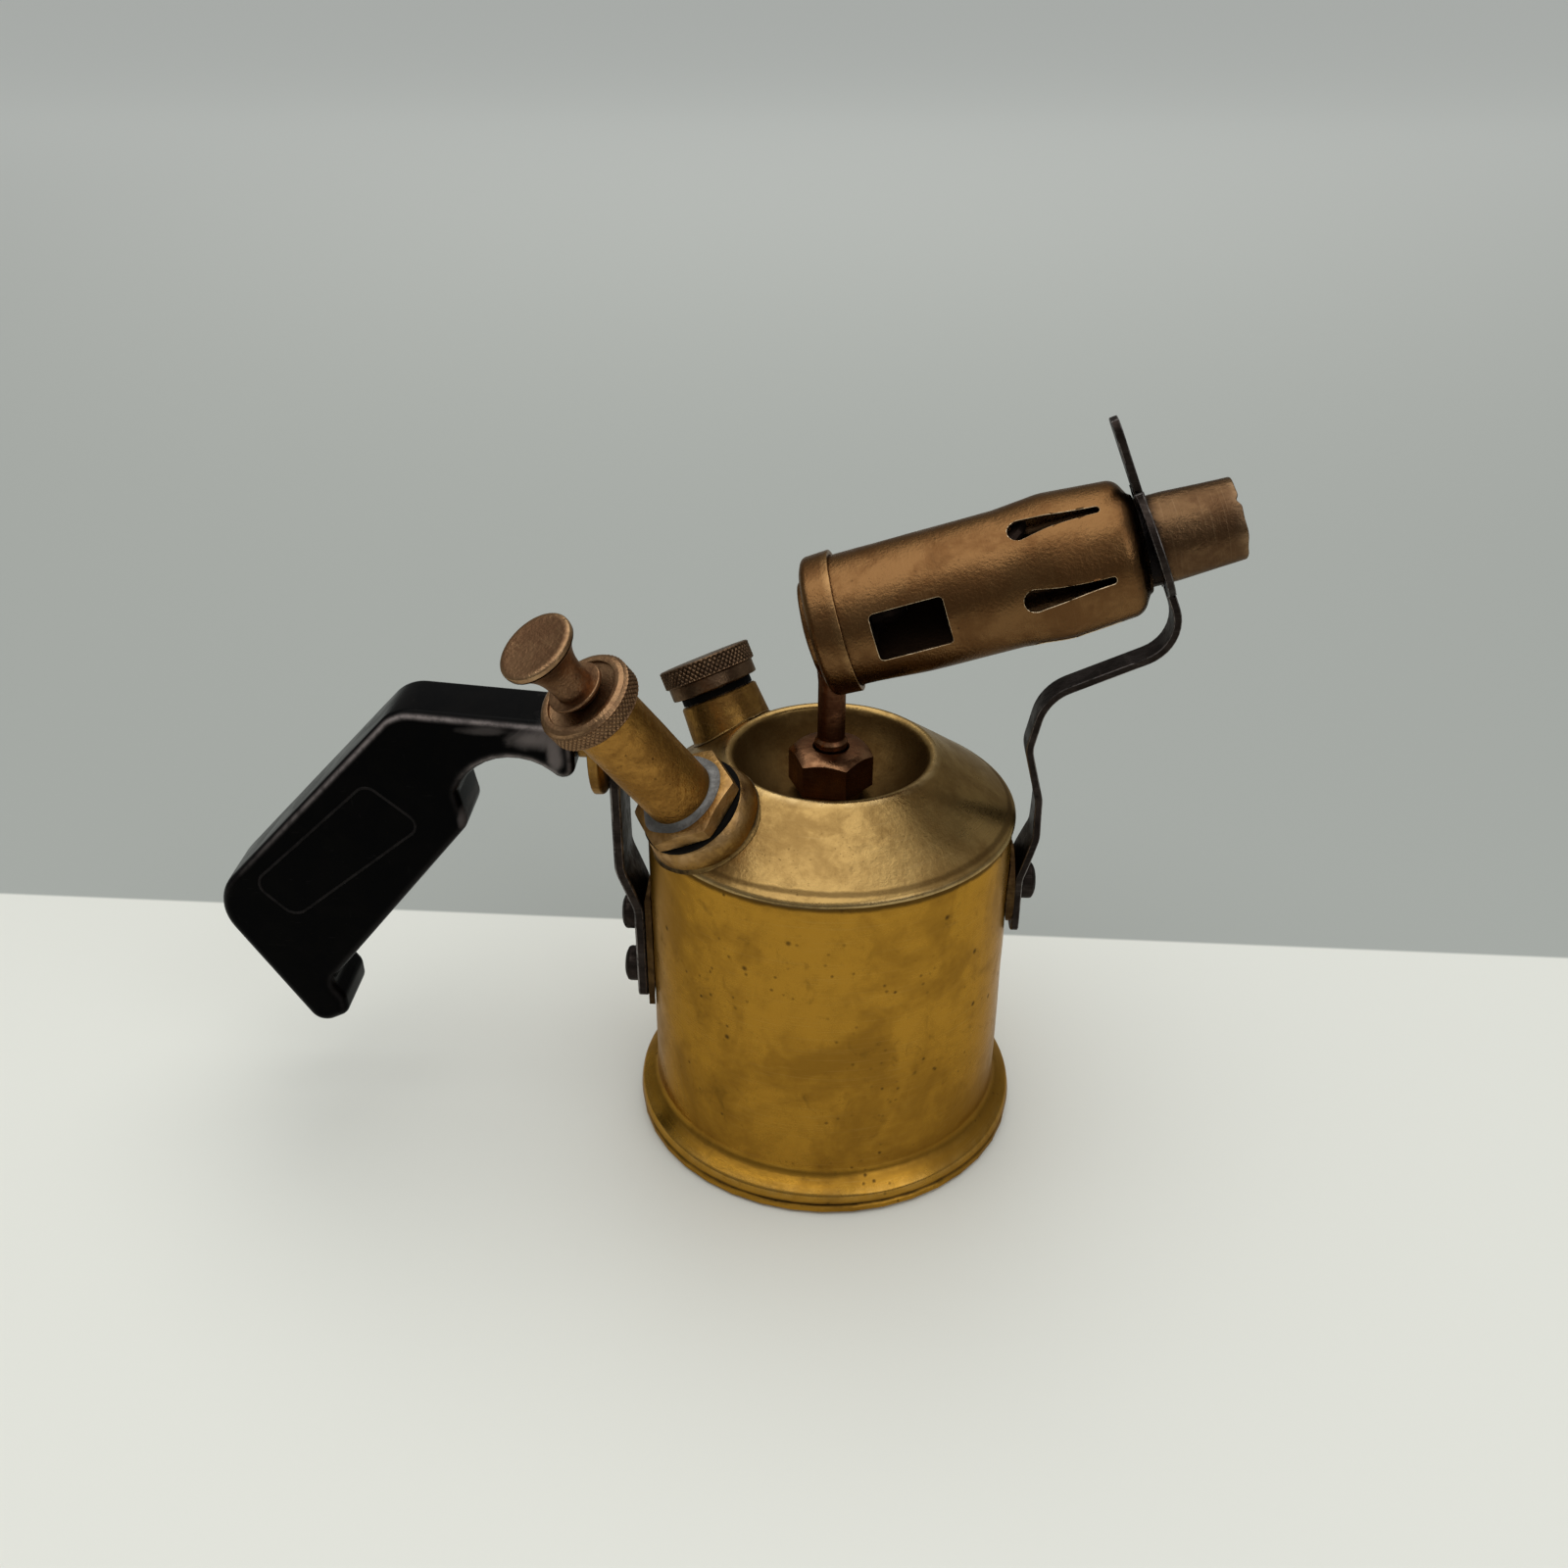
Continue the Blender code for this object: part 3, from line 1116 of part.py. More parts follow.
def make_valve(axis, bore):
    """Make the check valve that closes the barrel's inner end."""
    shelf = BARREL_BOTTOM + VALVE_FLANGE
    foot = BARREL_BOTTOM - VALVE_LENGTH
    seat = BARREL_BOTTOM - VALVE_FLANGE / 2
    turned("valve_body", [
        (VALVE_PORT, shelf),
        (bore - GAP, shelf),
        (bore - GAP, BARREL_BOTTOM - GAP),
        (VALVE_RADIUS, BARREL_BOTTOM - GAP),
        (VALVE_RADIUS, foot),
        (VALVE_CHAMBER + GAP, foot),
        (VALVE_CHAMBER + GAP, seat),
        (VALVE_PORT, seat),
    ], "aged_brass", axis, SMALL_STEPS)
    pad_top = seat - GAP
    turned("valve_pad", [
        (0.0, pad_top),
        (VALVE_CHAMBER, pad_top),
        (VALVE_CHAMBER, pad_top - VALVE_PAD_THICKNESS),
        (0.0, pad_top - VALVE_PAD_THICKNESS),
    ], "leather", axis, SMALL_STEPS, ring=False)
    ring_top = foot + RETAINER_THICKNESS
    turned("valve_retainer", [
        (RETAINER_PORT, ring_top),
        (VALVE_CHAMBER, ring_top),
        (VALVE_CHAMBER, foot),
        (RETAINER_PORT, foot),
    ], "aged_brass", axis, SMALL_STEPS)
    coil_radius = VALVE_CHAMBER - SPRING_WIRE * 2
    low = ring_top + GAP + SPRING_WIRE
    high = pad_top - VALVE_PAD_THICKNESS - VALVE_LIFT - GAP - SPRING_WIRE
    steps = SPRING_TURNS * SPRING_POINTS
    coil = []
    for k in range(steps + 1):
        angle = math.tau * k / SPRING_POINTS
        height = low + (high - low) * k / steps
        coil.append((coil_radius * math.cos(angle), coil_radius * math.sin(angle), height))
    tube("valve_spring", coil, SPRING_WIRE, "dark_steel", axis, resolution=1)


def make_filler(top, envelope):
    """Make the filler's neck, gasket and screw cap."""
    axis = leaning_axis("filler_axis", FILLER_AZIMUTH, FILLER_ELEVATION, FILLER_SEAT_RADIUS)
    combine(top, cylinder("filler_hole", NECK_BORE, NECK_SKIRT - OVERRUN, NECK_TOP, parent=axis))
    neck = turned("filler_neck", [
        (NECK_BORE, NECK_TOP),
        (NECK_TOP_RADIUS, NECK_TOP),
        (NECK_FOOT_RADIUS, NECK_FOOT),
        (NECK_FOOT_RADIUS, NECK_SKIRT),
        (NECK_BORE, NECK_SKIRT),
    ], "aged_brass", axis, MIDDLE_STEPS)
    combine(neck, envelope)
    plug = NECK_BORE - GAP
    gasket_bottom = NECK_TOP + GAP
    gasket_top = gasket_bottom + FILLER_GASKET_THICKNESS
    turned("filler_gasket", [
        (plug + GAP, gasket_top),
        (FILLER_GASKET_RADIUS, gasket_top),
        (FILLER_GASKET_RADIUS, gasket_bottom),
        (plug + GAP, gasket_bottom),
    ], "black_seal", axis, MIDDLE_STEPS)
    step_bottom = gasket_top + GAP
    step_top = step_bottom + CAP_STEP_HEIGHT
    cap_top = step_top + CAP_KNURL_HEIGHT
    plug_end = step_bottom - CAP_PLUG_LENGTH
    turned("filler_cap", [
        (0.0, cap_top + CAP_CROWN),
        (CAP_KNURL_RADIUS / 2, cap_top + CAP_CROWN * 3 / 4),
        (CAP_KNURL_RADIUS - CAP_CROWN, cap_top),
        (CAP_KNURL_RADIUS, cap_top - CAP_CROWN),
        (CAP_KNURL_RADIUS, step_top),
        (CAP_STEP_RADIUS, step_top),
        (CAP_STEP_RADIUS, step_bottom),
        (plug, step_bottom),
        (plug, plug_end),
        (plug - CAP_PLUG_WALL, plug_end),
        (plug - CAP_PLUG_WALL, step_top),
        (0.0, step_top),
    ], "copper_brown", axis, MIDDLE_STEPS, ring=False)


def main():
    """Build the whole lamp."""
    body, top = make_tank()
    envelope = shoulder_envelope()
    pipe_top = make_riser()
    burner = make_burner(pipe_top)
    make_support_strap(burner)
    make_handle_strap()
    make_pads(body)
    make_screw("support_screw", 1, SUPPORT_X + SUPPORT_THICKNESS / 2, SUPPORT_SCREW_HEIGHT)
    make_screw("handle_screw_upper", -1, -HANDLE_X + HANDLE_THICKNESS / 2, HANDLE_SCREW_UPPER)
    make_screw("handle_screw_lower", -1, -HANDLE_X + HANDLE_THICKNESS / 2, HANDLE_SCREW_LOWER)
    make_grip()
    make_pump(top, envelope)
    make_filler(top, envelope)


main()
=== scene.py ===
import logging
import math
from dataclasses import dataclass, field
from enum import Enum
from typing import Callable, Optional, Union

import bmesh
import bpy
import numpy as np
from mathutils import Matrix, Vector


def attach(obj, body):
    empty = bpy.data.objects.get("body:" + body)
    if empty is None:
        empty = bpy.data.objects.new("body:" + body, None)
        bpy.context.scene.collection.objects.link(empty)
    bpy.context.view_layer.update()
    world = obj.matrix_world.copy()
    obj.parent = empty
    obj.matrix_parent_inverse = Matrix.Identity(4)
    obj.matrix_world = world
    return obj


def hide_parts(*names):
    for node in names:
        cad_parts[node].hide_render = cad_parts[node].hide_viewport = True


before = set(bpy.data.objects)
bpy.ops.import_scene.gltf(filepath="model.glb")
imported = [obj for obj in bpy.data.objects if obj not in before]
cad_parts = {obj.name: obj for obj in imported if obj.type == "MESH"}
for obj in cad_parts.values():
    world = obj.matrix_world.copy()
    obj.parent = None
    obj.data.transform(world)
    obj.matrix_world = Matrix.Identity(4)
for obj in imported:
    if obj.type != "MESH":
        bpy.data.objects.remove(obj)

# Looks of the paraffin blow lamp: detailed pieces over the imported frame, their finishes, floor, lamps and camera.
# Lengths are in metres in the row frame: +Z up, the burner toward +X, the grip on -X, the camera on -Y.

LOG = logging.getLogger("blow_lamp")
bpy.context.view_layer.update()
TAU = math.tau
MERGE = 1e-6
SHARP_ANGLE = math.radians(32.0)

Point = tuple[float, float, float]
Colour = tuple[float, float, float]


class Body(Enum):
    """The frame's bodies that pieces ride on."""

    LAMP = "lamp"
    PLUNGER = "plunger"
    VALVE = "check_valve"
    WASHER = "cap_washer"
    CAP = "filler_screw_cap"


class Slot(Enum):
    """The record's material slots."""

    AGED_BRASS = "aged_brass"
    SHOULDER_BRASS = "shoulder_brass"
    HEAT_BRASS = "heat_brass"
    RED_BRASS = "red_brass"
    COPPER_BROWN = "copper_brown"
    DARK_STEEL = "dark_steel"
    BLACK_SEAL = "black_seal"
    LEATHER = "leather"
    BAKELITE = "bakelite"


@dataclass(frozen=True)
class Axes:
    """A place on the lamp with its own directions: z runs along it, x lies to its side."""

    origin: Point
    along: Point
    side: Point

    def directions(self) -> np.ndarray:
        """Return the x, y and z directions as rows, square to each other."""
        along = np.array(self.along) / np.linalg.norm(self.along)
        side = np.array(self.side) - along * np.dot(self.side, along)
        side = side / np.linalg.norm(side)
        return np.stack([side, np.cross(along, side), along])

    def place(self, points: np.ndarray) -> np.ndarray:
        """Return points given along these axes in the row frame."""
        return points @ self.directions() + np.array(self.origin)

    def at(self, point: Point, along: Point, side: Point) -> "Axes":
        """Return axes whose origin and directions are given along these ones."""
        turned = self.directions()
        origin = tuple(self.place(np.array(point)))
        return Axes(origin, tuple(np.array(along) @ turned), tuple(np.array(side) @ turned))


BURNER_SLOPE = math.radians(17.2)
RING_LEAN = math.radians(23.2)
UPRIGHT = Axes((0.0, 0.0, 0.0), (0.0, 0.0, 1.0), (1.0, 0.0, 0.0))
BURNER = Axes((0.030, 0.0, 0.13685), (math.cos(BURNER_SLOPE), 0.0, math.sin(BURNER_SLOPE)),
              (-math.sin(BURNER_SLOPE), 0.0, math.cos(BURNER_SLOPE)))
RING = Axes((0.06601, 0.0, 0.14800), (math.cos(RING_LEAN), 0.0, math.sin(RING_LEAN)),
            (-math.sin(RING_LEAN), 0.0, math.cos(RING_LEAN)))
PUMP = Axes((-0.027192, -0.019974, 0.090218), (-0.471434, -0.346303, 0.811064), (0.59201, -0.80593, 0.0))
FILLER = Axes((-0.0239545, 0.0208233, 0.0916599), (-0.385312, 0.334946, 0.859852), (-0.656059, -0.75471, 0.0))


# Shapes: surfaces on a grid of rows and columns


def arc_line(corners: list[Point], steps: int = 6, closed: bool = False) -> np.ndarray:
    """Work out a line through corners whose radius rounds them.

    Each corner's arc is centre + radius * (cos a, sin a), where a runs evenly between the two tangent points.

    Args:
        corners: (x, y, radius) of each corner.
        steps: parts of each arc.
        closed: whether the line returns to its first corner.

    Returns:
        The points, one row each.
    """
    places = np.array([corner[:2] for corner in corners], float)
    points = []
    for i, (x, y, radius) in enumerate(corners):
        here = np.array((x, y))
        if radius == 0 or (not closed and i in (0, len(corners) - 1)):
            points.append(here[None])
            continue
        before = places[i - 1] - here
        after = places[(i + 1) % len(corners)] - here
        before /= np.linalg.norm(before)
        after /= np.linalg.norm(after)
        half = math.acos(float(np.clip(before @ after, -1.0, 1.0))) / 2
        middle = before + after
        centre = here + middle / np.linalg.norm(middle) * (radius / math.sin(half))
        start = here + before * (radius / math.tan(half)) - centre
        end = here + after * (radius / math.tan(half)) - centre
        first = math.atan2(start[1], start[0])
        sweep = math.remainder(math.atan2(end[1], end[0]) - first, TAU)
        angles = first + sweep * np.linspace(0.0, 1.0, steps + 1)
        points.append(centre + radius * np.stack([np.cos(angles), np.sin(angles)], -1))
    return np.concatenate(points)


def refine(line: np.ndarray, length: float) -> np.ndarray:
    """Add points to a line's long stretches: start + (end - start) * k / n, with n = stretch / length.

    Args:
        line: points, one row each.
        length: the longest stretch that stays.

    Returns:
        The longer array of points.
    """
    parts = [line[:1]]
    for start, end in zip(line[:-1], line[1:]):
        count = max(int(np.linalg.norm(end - start) / length), 1)
        shares = np.arange(1, count + 1)[:, None] / count
        parts.append(start + (end - start) * shares)
    return np.concatenate(parts)


def beside(line: np.ndarray, distance: float) -> np.ndarray:
    """Return the line at a distance to the right: each point moved along the mitre of its two normals."""
    runs = np.diff(line, axis=0)
    runs /= np.linalg.norm(runs, axis=1, keepdims=True)
    normals = np.stack([runs[:, 1], -runs[:, 0]], -1)
    first = np.concatenate([normals[:1], normals])
    last = np.concatenate([normals, normals[-1:]])
    middle = first + last
    middle /= np.linalg.norm(middle, axis=1, keepdims=True)
    reach = distance / np.clip((middle * first).sum(1, keepdims=True), 0.3, 1.0)
    return line + middle * reach


def wall(line: np.ndarray, thickness: float) -> np.ndarray:
    """Return the closed section of a sheet: its outer line and, backwards, the line beside it."""
    return np.concatenate([line, beside(line, thickness)[::-1]])


def revolve(profile: np.ndarray, turns: int) -> np.ndarray:
    """Turn (radius, height) points round the z axis: (r cos a, r sin a, h).

    Args:
        profile: points, one row each.
        turns: columns round the axis.

    Returns:
        A grid of rows by columns by 3.
    """
    angles = np.arange(turns) * TAU / turns
    radius = profile[:, :1]
    return np.stack([radius * np.cos(angles), radius * np.sin(angles), profile[:, 1:] + 0 * angles], -1)


def hexagon(flats: float, corner: float, rows: list[tuple[float, float, float, float]], per_side: int = 14) -> np.ndarray:
    """Work out a six-sided turned piece.

    The flats lie at h(a) = flats / 2 / cos(d), where d is the angle from the nearest flat's middle. A row's point has
    radius + share * (h - flats / 2) and height - droop * (h - flats / 2), so a chamfer curves down at the corners.

    Args:
        flats: size across the flats.
        corner: angle of one corner.
        rows: radius, share of the corners, height and droop of each row.
        per_side: columns on each flat.

    Returns:
        A grid of rows by columns by 3.
    """
    angles = corner + np.arange(6 * per_side) * TAU / (6 * per_side)
    offset = np.mod(angles - corner, TAU / 6) - TAU / 12
    excess = flats / 2 / np.cos(offset) - flats / 2
    excess = np.minimum(excess, excess.max() * 0.93)
    table = np.array(rows)
    radius = table[:, :1] + table[:, 1:2] * excess
    height = table[:, 2:3] - table[:, 3:4] * excess
    return np.stack([radius * np.cos(angles), radius * np.sin(angles), height + 0 * angles], -1)


def diamonds(grid: np.ndarray, low: float, high: float, count: int, depth: float) -> tuple[np.ndarray, np.ndarray]:
    """Press a diamond knurl into the side of a turned piece between two heights.

    Two sets of slanting grooves cross: the cut is depth * (1 - |saw(u)| * |saw(v)|), with u and v the turn times count
    plus or minus the height over the groove's pitch, faded out at both edges. Rows inside the piece are left alone.

    Args:
        grid: rows by columns by 3 round the z axis.
        low: lower edge of the knurl.
        high: upper edge of the knurl.
        count: diamonds round the piece.
        depth: depth of the grooves.

    Returns:
        The changed grid and the share of cut at each point, which paints shade and dirt into the grooves.
    """
    radius = np.hypot(grid[..., 0], grid[..., 1])
    turn = np.arctan2(grid[..., 1], grid[..., 0]) / TAU * count
    pitch = TAU * radius.max() / count
    rise = (grid[..., 2] - low) / (pitch * 1.15)
    first = np.abs(np.mod(turn + rise, 1.0) - 0.5) * 2
    second = np.abs(np.mod(turn - rise, 1.0) - 0.5) * 2
    cut = np.maximum(first ** 3, second ** 3)
    edge = np.clip(np.minimum(grid[..., 2] - low, high - grid[..., 2]) / (depth * 0.8), 0.0, 1.0)
    cut = cut * edge * (radius > radius.max() * 0.97)
    scale = 1 - depth * cut / np.maximum(radius, MERGE)
    return grid * np.stack([scale, scale, np.ones_like(scale)], -1), cut


def waves(angles: np.ndarray, seed: int, count: int = 6) -> np.ndarray:
    """Return a seeded sum of sines of the angle, from about -1 to 1, with each wave weaker than the last."""
    rng = np.random.default_rng(seed)
    orders = np.arange(1, count + 1)
    weights = rng.uniform(0.5, 1.0, count) / orders ** 0.5
    phases = rng.uniform(0, TAU, count)
    return (np.sin(angles[..., None] * orders + phases) * weights).sum(-1) / weights.sum() * 1.6


def skin(name: str, grid: np.ndarray, axes: Axes = UPRIGHT, loop_rows: bool = False, loop_columns: bool = True,
         caps: bool = False, wear_and_highlight: Optional[np.ndarray] = None,
         shade_and_dirt: Optional[np.ndarray] = None) -> bpy.types.Object:
    """Make a mesh object from a grid of points.

    Args:
        name: the object's name.
        grid: rows by columns by 3, along the axes.
        axes: where the grid stands.
        loop_rows: whether the last row joins the first.
        loop_columns: whether the last column joins the first.
        caps: whether the first and last row are closed by a face.
        wear_and_highlight: how much each point is rubbed, and on some edges painted brighter as a highlight, kept as an
            attribute that the finishes read.
        shade_and_dirt: how much painted shade and dirt lies at each point, kept as an attribute too.

    Returns:
        The object, linked to the scene.
    """
    rows, columns = grid.shape[:2]
    index = np.arange(rows * columns).reshape(rows, columns)
    index = np.vstack([index, index[:1]]) if loop_rows else index
    index = np.hstack([index, index[:, :1]]) if loop_columns else index
    quads = np.stack([index[:-1, :-1], index[:-1, 1:], index[1:, 1:], index[1:, :-1]], -1).reshape(-1, 4)
    faces = quads.tolist()
    if caps:
        faces += [list(range(columns))[::-1], list(range((rows - 1) * columns, rows * columns))]
    mesh = bpy.data.meshes.new(name)
    mesh.from_pydata(axes.place(grid.reshape(-1, 3)).tolist(), [], faces)
    for title, shares in (("wear_and_highlight", wear_and_highlight), ("shade_and_dirt", shade_and_dirt)):
        if shares is not None:
            layer = mesh.attributes.new(title, "FLOAT", "POINT")
            layer.data.foreach_set("value", np.broadcast_to(shares, (rows, columns)).astype(np.float32).ravel())
    shape = bmesh.new()
    shape.from_mesh(mesh)
    bmesh.ops.remove_doubles(shape, verts=shape.verts, dist=MERGE)
    bmesh.ops.recalc_face_normals(shape, faces=shape.faces)
    shape.to_mesh(mesh)
    shape.free()
    piece = bpy.data.objects.new(name, mesh)
    bpy.context.scene.collection.objects.link(piece)
    smooth(piece)
    return piece


def smooth(piece: bpy.types.Object) -> None:
    """Shade a piece smooth with sharp edges past one angle."""
    piece.data.shade_smooth()
    piece.data.set_sharp_from_angle(angle=SHARP_ANGLE)


def rod(name: str, radius: float, low: float, high: float, axes: Axes, turns: int = 64) -> bpy.types.Object:
    """Return a plain closed cylinder, for cutting."""
    return skin(name, revolve(np.array([(radius, low), (radius, high)]), turns), axes, caps=True)


def slab(name: str, outline: np.ndarray, depth: float, axes: Axes) -> bpy.types.Object:
    """Return an outline carried both ways along z, for cutting."""
    heights = np.array([-depth, depth])[:, None]
    grid = np.stack([outline[:, 0] + 0 * heights, outline[:, 1] + 0 * heights, heights + 0 * outline[:, 0]], -1)
    return skin(name, grid, axes, caps=True)


def combine(piece: bpy.types.Object, tools: list[bpy.types.Object], operation: str = "DIFFERENCE") -> bpy.types.Object:
    """Cut or join a piece with tools, apply the result and remove the tools.

    Args:
        piece: the object to change.
        tools: the closed meshes to cut or join with.
        operation: Blender's name of the operation.

    Returns:
        The piece.
    """
    for tool in tools:
        step = piece.modifiers.new(operation.title(), "BOOLEAN")
        step.operation = operation
        step.solver = "EXACT"
        step.object = tool
    apply_steps(piece)
    for tool in tools:
        bpy.data.objects.remove(tool)
    smooth(piece)
    return piece


def apply_steps(piece: bpy.types.Object) -> None:
    """Put a piece's modifiers into its mesh."""
    bpy.context.view_layer.update()
    result = bpy.data.meshes.new_from_object(piece.evaluated_get(bpy.context.evaluated_depsgraph_get()))
    piece.modifiers.clear()
    piece.data = result


def ease_edges(piece: bpy.types.Object, width: float, clamp: bool = True) -> None:
    """Round a piece's sharp edges and mark the new faces with its second material, the rubbed metal painted brighter as
    a highlight line.
    """
    step = piece.modifiers.new("Edges", "BEVEL")
    step.width = width
    step.segments = 2
    step.limit_method = "ANGLE"
    step.angle_limit = math.radians(35.0)
    step.material = 1
    step.use_clamp_overlap = clamp


# Shader maths and finishes


class Wire:
    """A value that runs between nodes, with the arithmetic that a finish uses."""

    def __init__(self, graph: "Graph", socket: bpy.types.NodeSocket) -> None:
        """Keep the graph and the output socket."""
        self.graph = graph
        self.socket = socket

    def combine(self, operation: str, first: "Value", second: "Value") -> "Wire":
        """Return a Math node's result."""
        return Wire(self.graph, self.graph.node("ShaderNodeMath", {"operation": operation},
                                                {0: first, 1: second}).outputs[0])

    def __add__(self, other: "Value") -> "Wire":
        """Return the sum."""
        return self.combine("ADD", self, other)

    def __radd__(self, other: "Value") -> "Wire":
        """Return the sum, with the number first."""
        return self.combine("ADD", other, self)

    def __sub__(self, other: "Value") -> "Wire":
        """Return the difference."""
        return self.combine("SUBTRACT", self, other)

    def __rsub__(self, other: "Value") -> "Wire":
        """Return the difference, with the number first."""
        return self.combine("SUBTRACT", other, self)

    def __mul__(self, other: "Value") -> "Wire":
        """Return the product."""
        return self.combine("MULTIPLY", self, other)

    def __rmul__(self, other: "Value") -> "Wire":
        """Return the product, with the number first."""
        return self.combine("MULTIPLY", other, self)

    def larger(self, other: "Value") -> "Wire":
        """Return the larger of two values."""
        return self.combine("MAXIMUM", self, other)

    def size(self) -> "Wire":
        """Return the value without its sign."""
        return self.combine("ABSOLUTE", self, 0.0)

    def ease(self, low: float, high: float) -> "Wire":
        """Return a smooth step from 0 at low to 1 at high."""
        node = self.graph.node("ShaderNodeMapRange", {"interpolation_type": "SMOOTHSTEP"},
                               {"Value": self, "From Min": low, "From Max": high})
        return Wire(self.graph, node.outputs["Result"])


Value = Union[Wire, float]
Tint = Union[Wire, Colour]


class Graph:
    """Writes the nodes of one material."""

    def __init__(self, name: str) -> None:
        """Start an empty material whose patterns read Object coordinates."""
        self.material = bpy.data.materials.new(name)
        self.material.use_nodes = True
        self.tree = self.material.node_tree
        self.tree.nodes.clear()
        self.where = Wire(self, self.node("ShaderNodeTexCoord").outputs["Object"])

    def node(self, kind: str, settings: Optional[dict] = None, inputs: Optional[dict] = None) -> bpy.types.Node:
        """Add a node.

        Args:
            kind: its type.
            settings: its own properties, set first.
            inputs: values or wires by socket.

        Returns:
            The node.
        """
        made = self.tree.nodes.new(kind)
        for key, value in (settings or {}).items():
            setattr(made, key, value)
        for key, value in (inputs or {}).items():
            if isinstance(value, Wire):
                self.tree.links.new(value.socket, made.inputs[key])
            else:
                made.inputs[key].default_value = value
        return made

    def stand(self, axes: Axes, stretch: Point = (1.0, 1.0, 1.0)) -> Wire:
        """Return coordinates along a piece's own axes, stretched for brushed or turned marks."""
        turn = Matrix(axes.directions().tolist()).transposed().to_euler()
        node = self.node("ShaderNodeMapping", {"vector_type": "TEXTURE"},
                         {"Vector": self.where, "Location": axes.origin, "Rotation": tuple(turn),
                          "Scale": tuple(1 / share for share in stretch)})
        return Wire(self, node.outputs[0])

    def height(self, axes: Axes) -> Wire:
        """Return the distance along a piece's axes from their origin."""
        node = self.node("ShaderNodeSeparateXYZ", None, {0: self.stand(axes)})
        return Wire(self, node.outputs["Z"])

    def radius(self, axes: Axes, stretch: Point = (1.0, 1.0, 1.0)) -> Wire:
        """Return the distance from a piece's axis, each direction stretched."""
        flat = self.node("ShaderNodeVectorMath", {"operation": "MULTIPLY"},
                         {0: self.stand(axes, stretch), 1: (1.0, 1.0, 0.0)})
        node = self.node("ShaderNodeVectorMath", {"operation": "LENGTH"}, {0: Wire(self, flat.outputs[0])})
        return Wire(self, node.outputs["Value"])

    def noise(self, size: float, detail: float = 3.0, rough: float = 0.55, warp: float = 0.0,
              where: Optional[Wire] = None) -> Wire:
        """Return noise whose features are about one size, in metres."""
        node = self.node("ShaderNodeTexNoise", None,
                         {"Vector": where or self.where, "Scale": 1 / size, "Detail": detail,
                          "Roughness": rough, "Distortion": warp})
        return Wire(self, node.outputs["Fac"])

    def cells(self, size: float, where: Optional[Wire] = None) -> Wire:
        """Return the distance to the nearest of scattered points about one size apart."""
        node = self.node("ShaderNodeTexVoronoi", None, {"Vector": where or self.where, "Scale": 1 / size})
        return Wire(self, node.outputs["Distance"])

    def attribute(self, name: str) -> Wire:
        """Return a mesh attribute, 0 where the mesh has none."""
        return Wire(self, self.node("ShaderNodeAttribute", {"attribute_name": name}).outputs["Fac"])

    def blend(self, under: Tint, over: Tint, share: Value) -> Wire:
        """Return one colour laid over another by a share."""
        def full(tint: Tint) -> Union[Wire, tuple]:
            """Return a colour with its alpha."""
            return tint if isinstance(tint, Wire) else (*tint, 1.0)
        node = self.node("ShaderNodeMix", {"data_type": "RGBA"}, {0: share, 6: full(under), 7: full(over)})
        return Wire(self, node.outputs[2])

    def bump(self, height: Wire, distance: float, normal: Optional[Wire] = None) -> Wire:
        """Return the normal of a surface raised by height times distance."""
        inputs = {"Height": height, "Distance": distance, "Strength": 1.0}
        if normal:
            inputs["Normal"] = normal
        return Wire(self, self.node("ShaderNodeBump", None, inputs).outputs[0])

    def surface(self, inputs: dict) -> bpy.types.Material:
        """Close the graph with a Principled shader and return the material."""
        shader = self.node("ShaderNodeBsdfPrincipled", None, inputs)
        output = self.node("ShaderNodeOutputMaterial")
        self.tree.links.new(shader.outputs[0], output.inputs["Surface"])
        return self.material


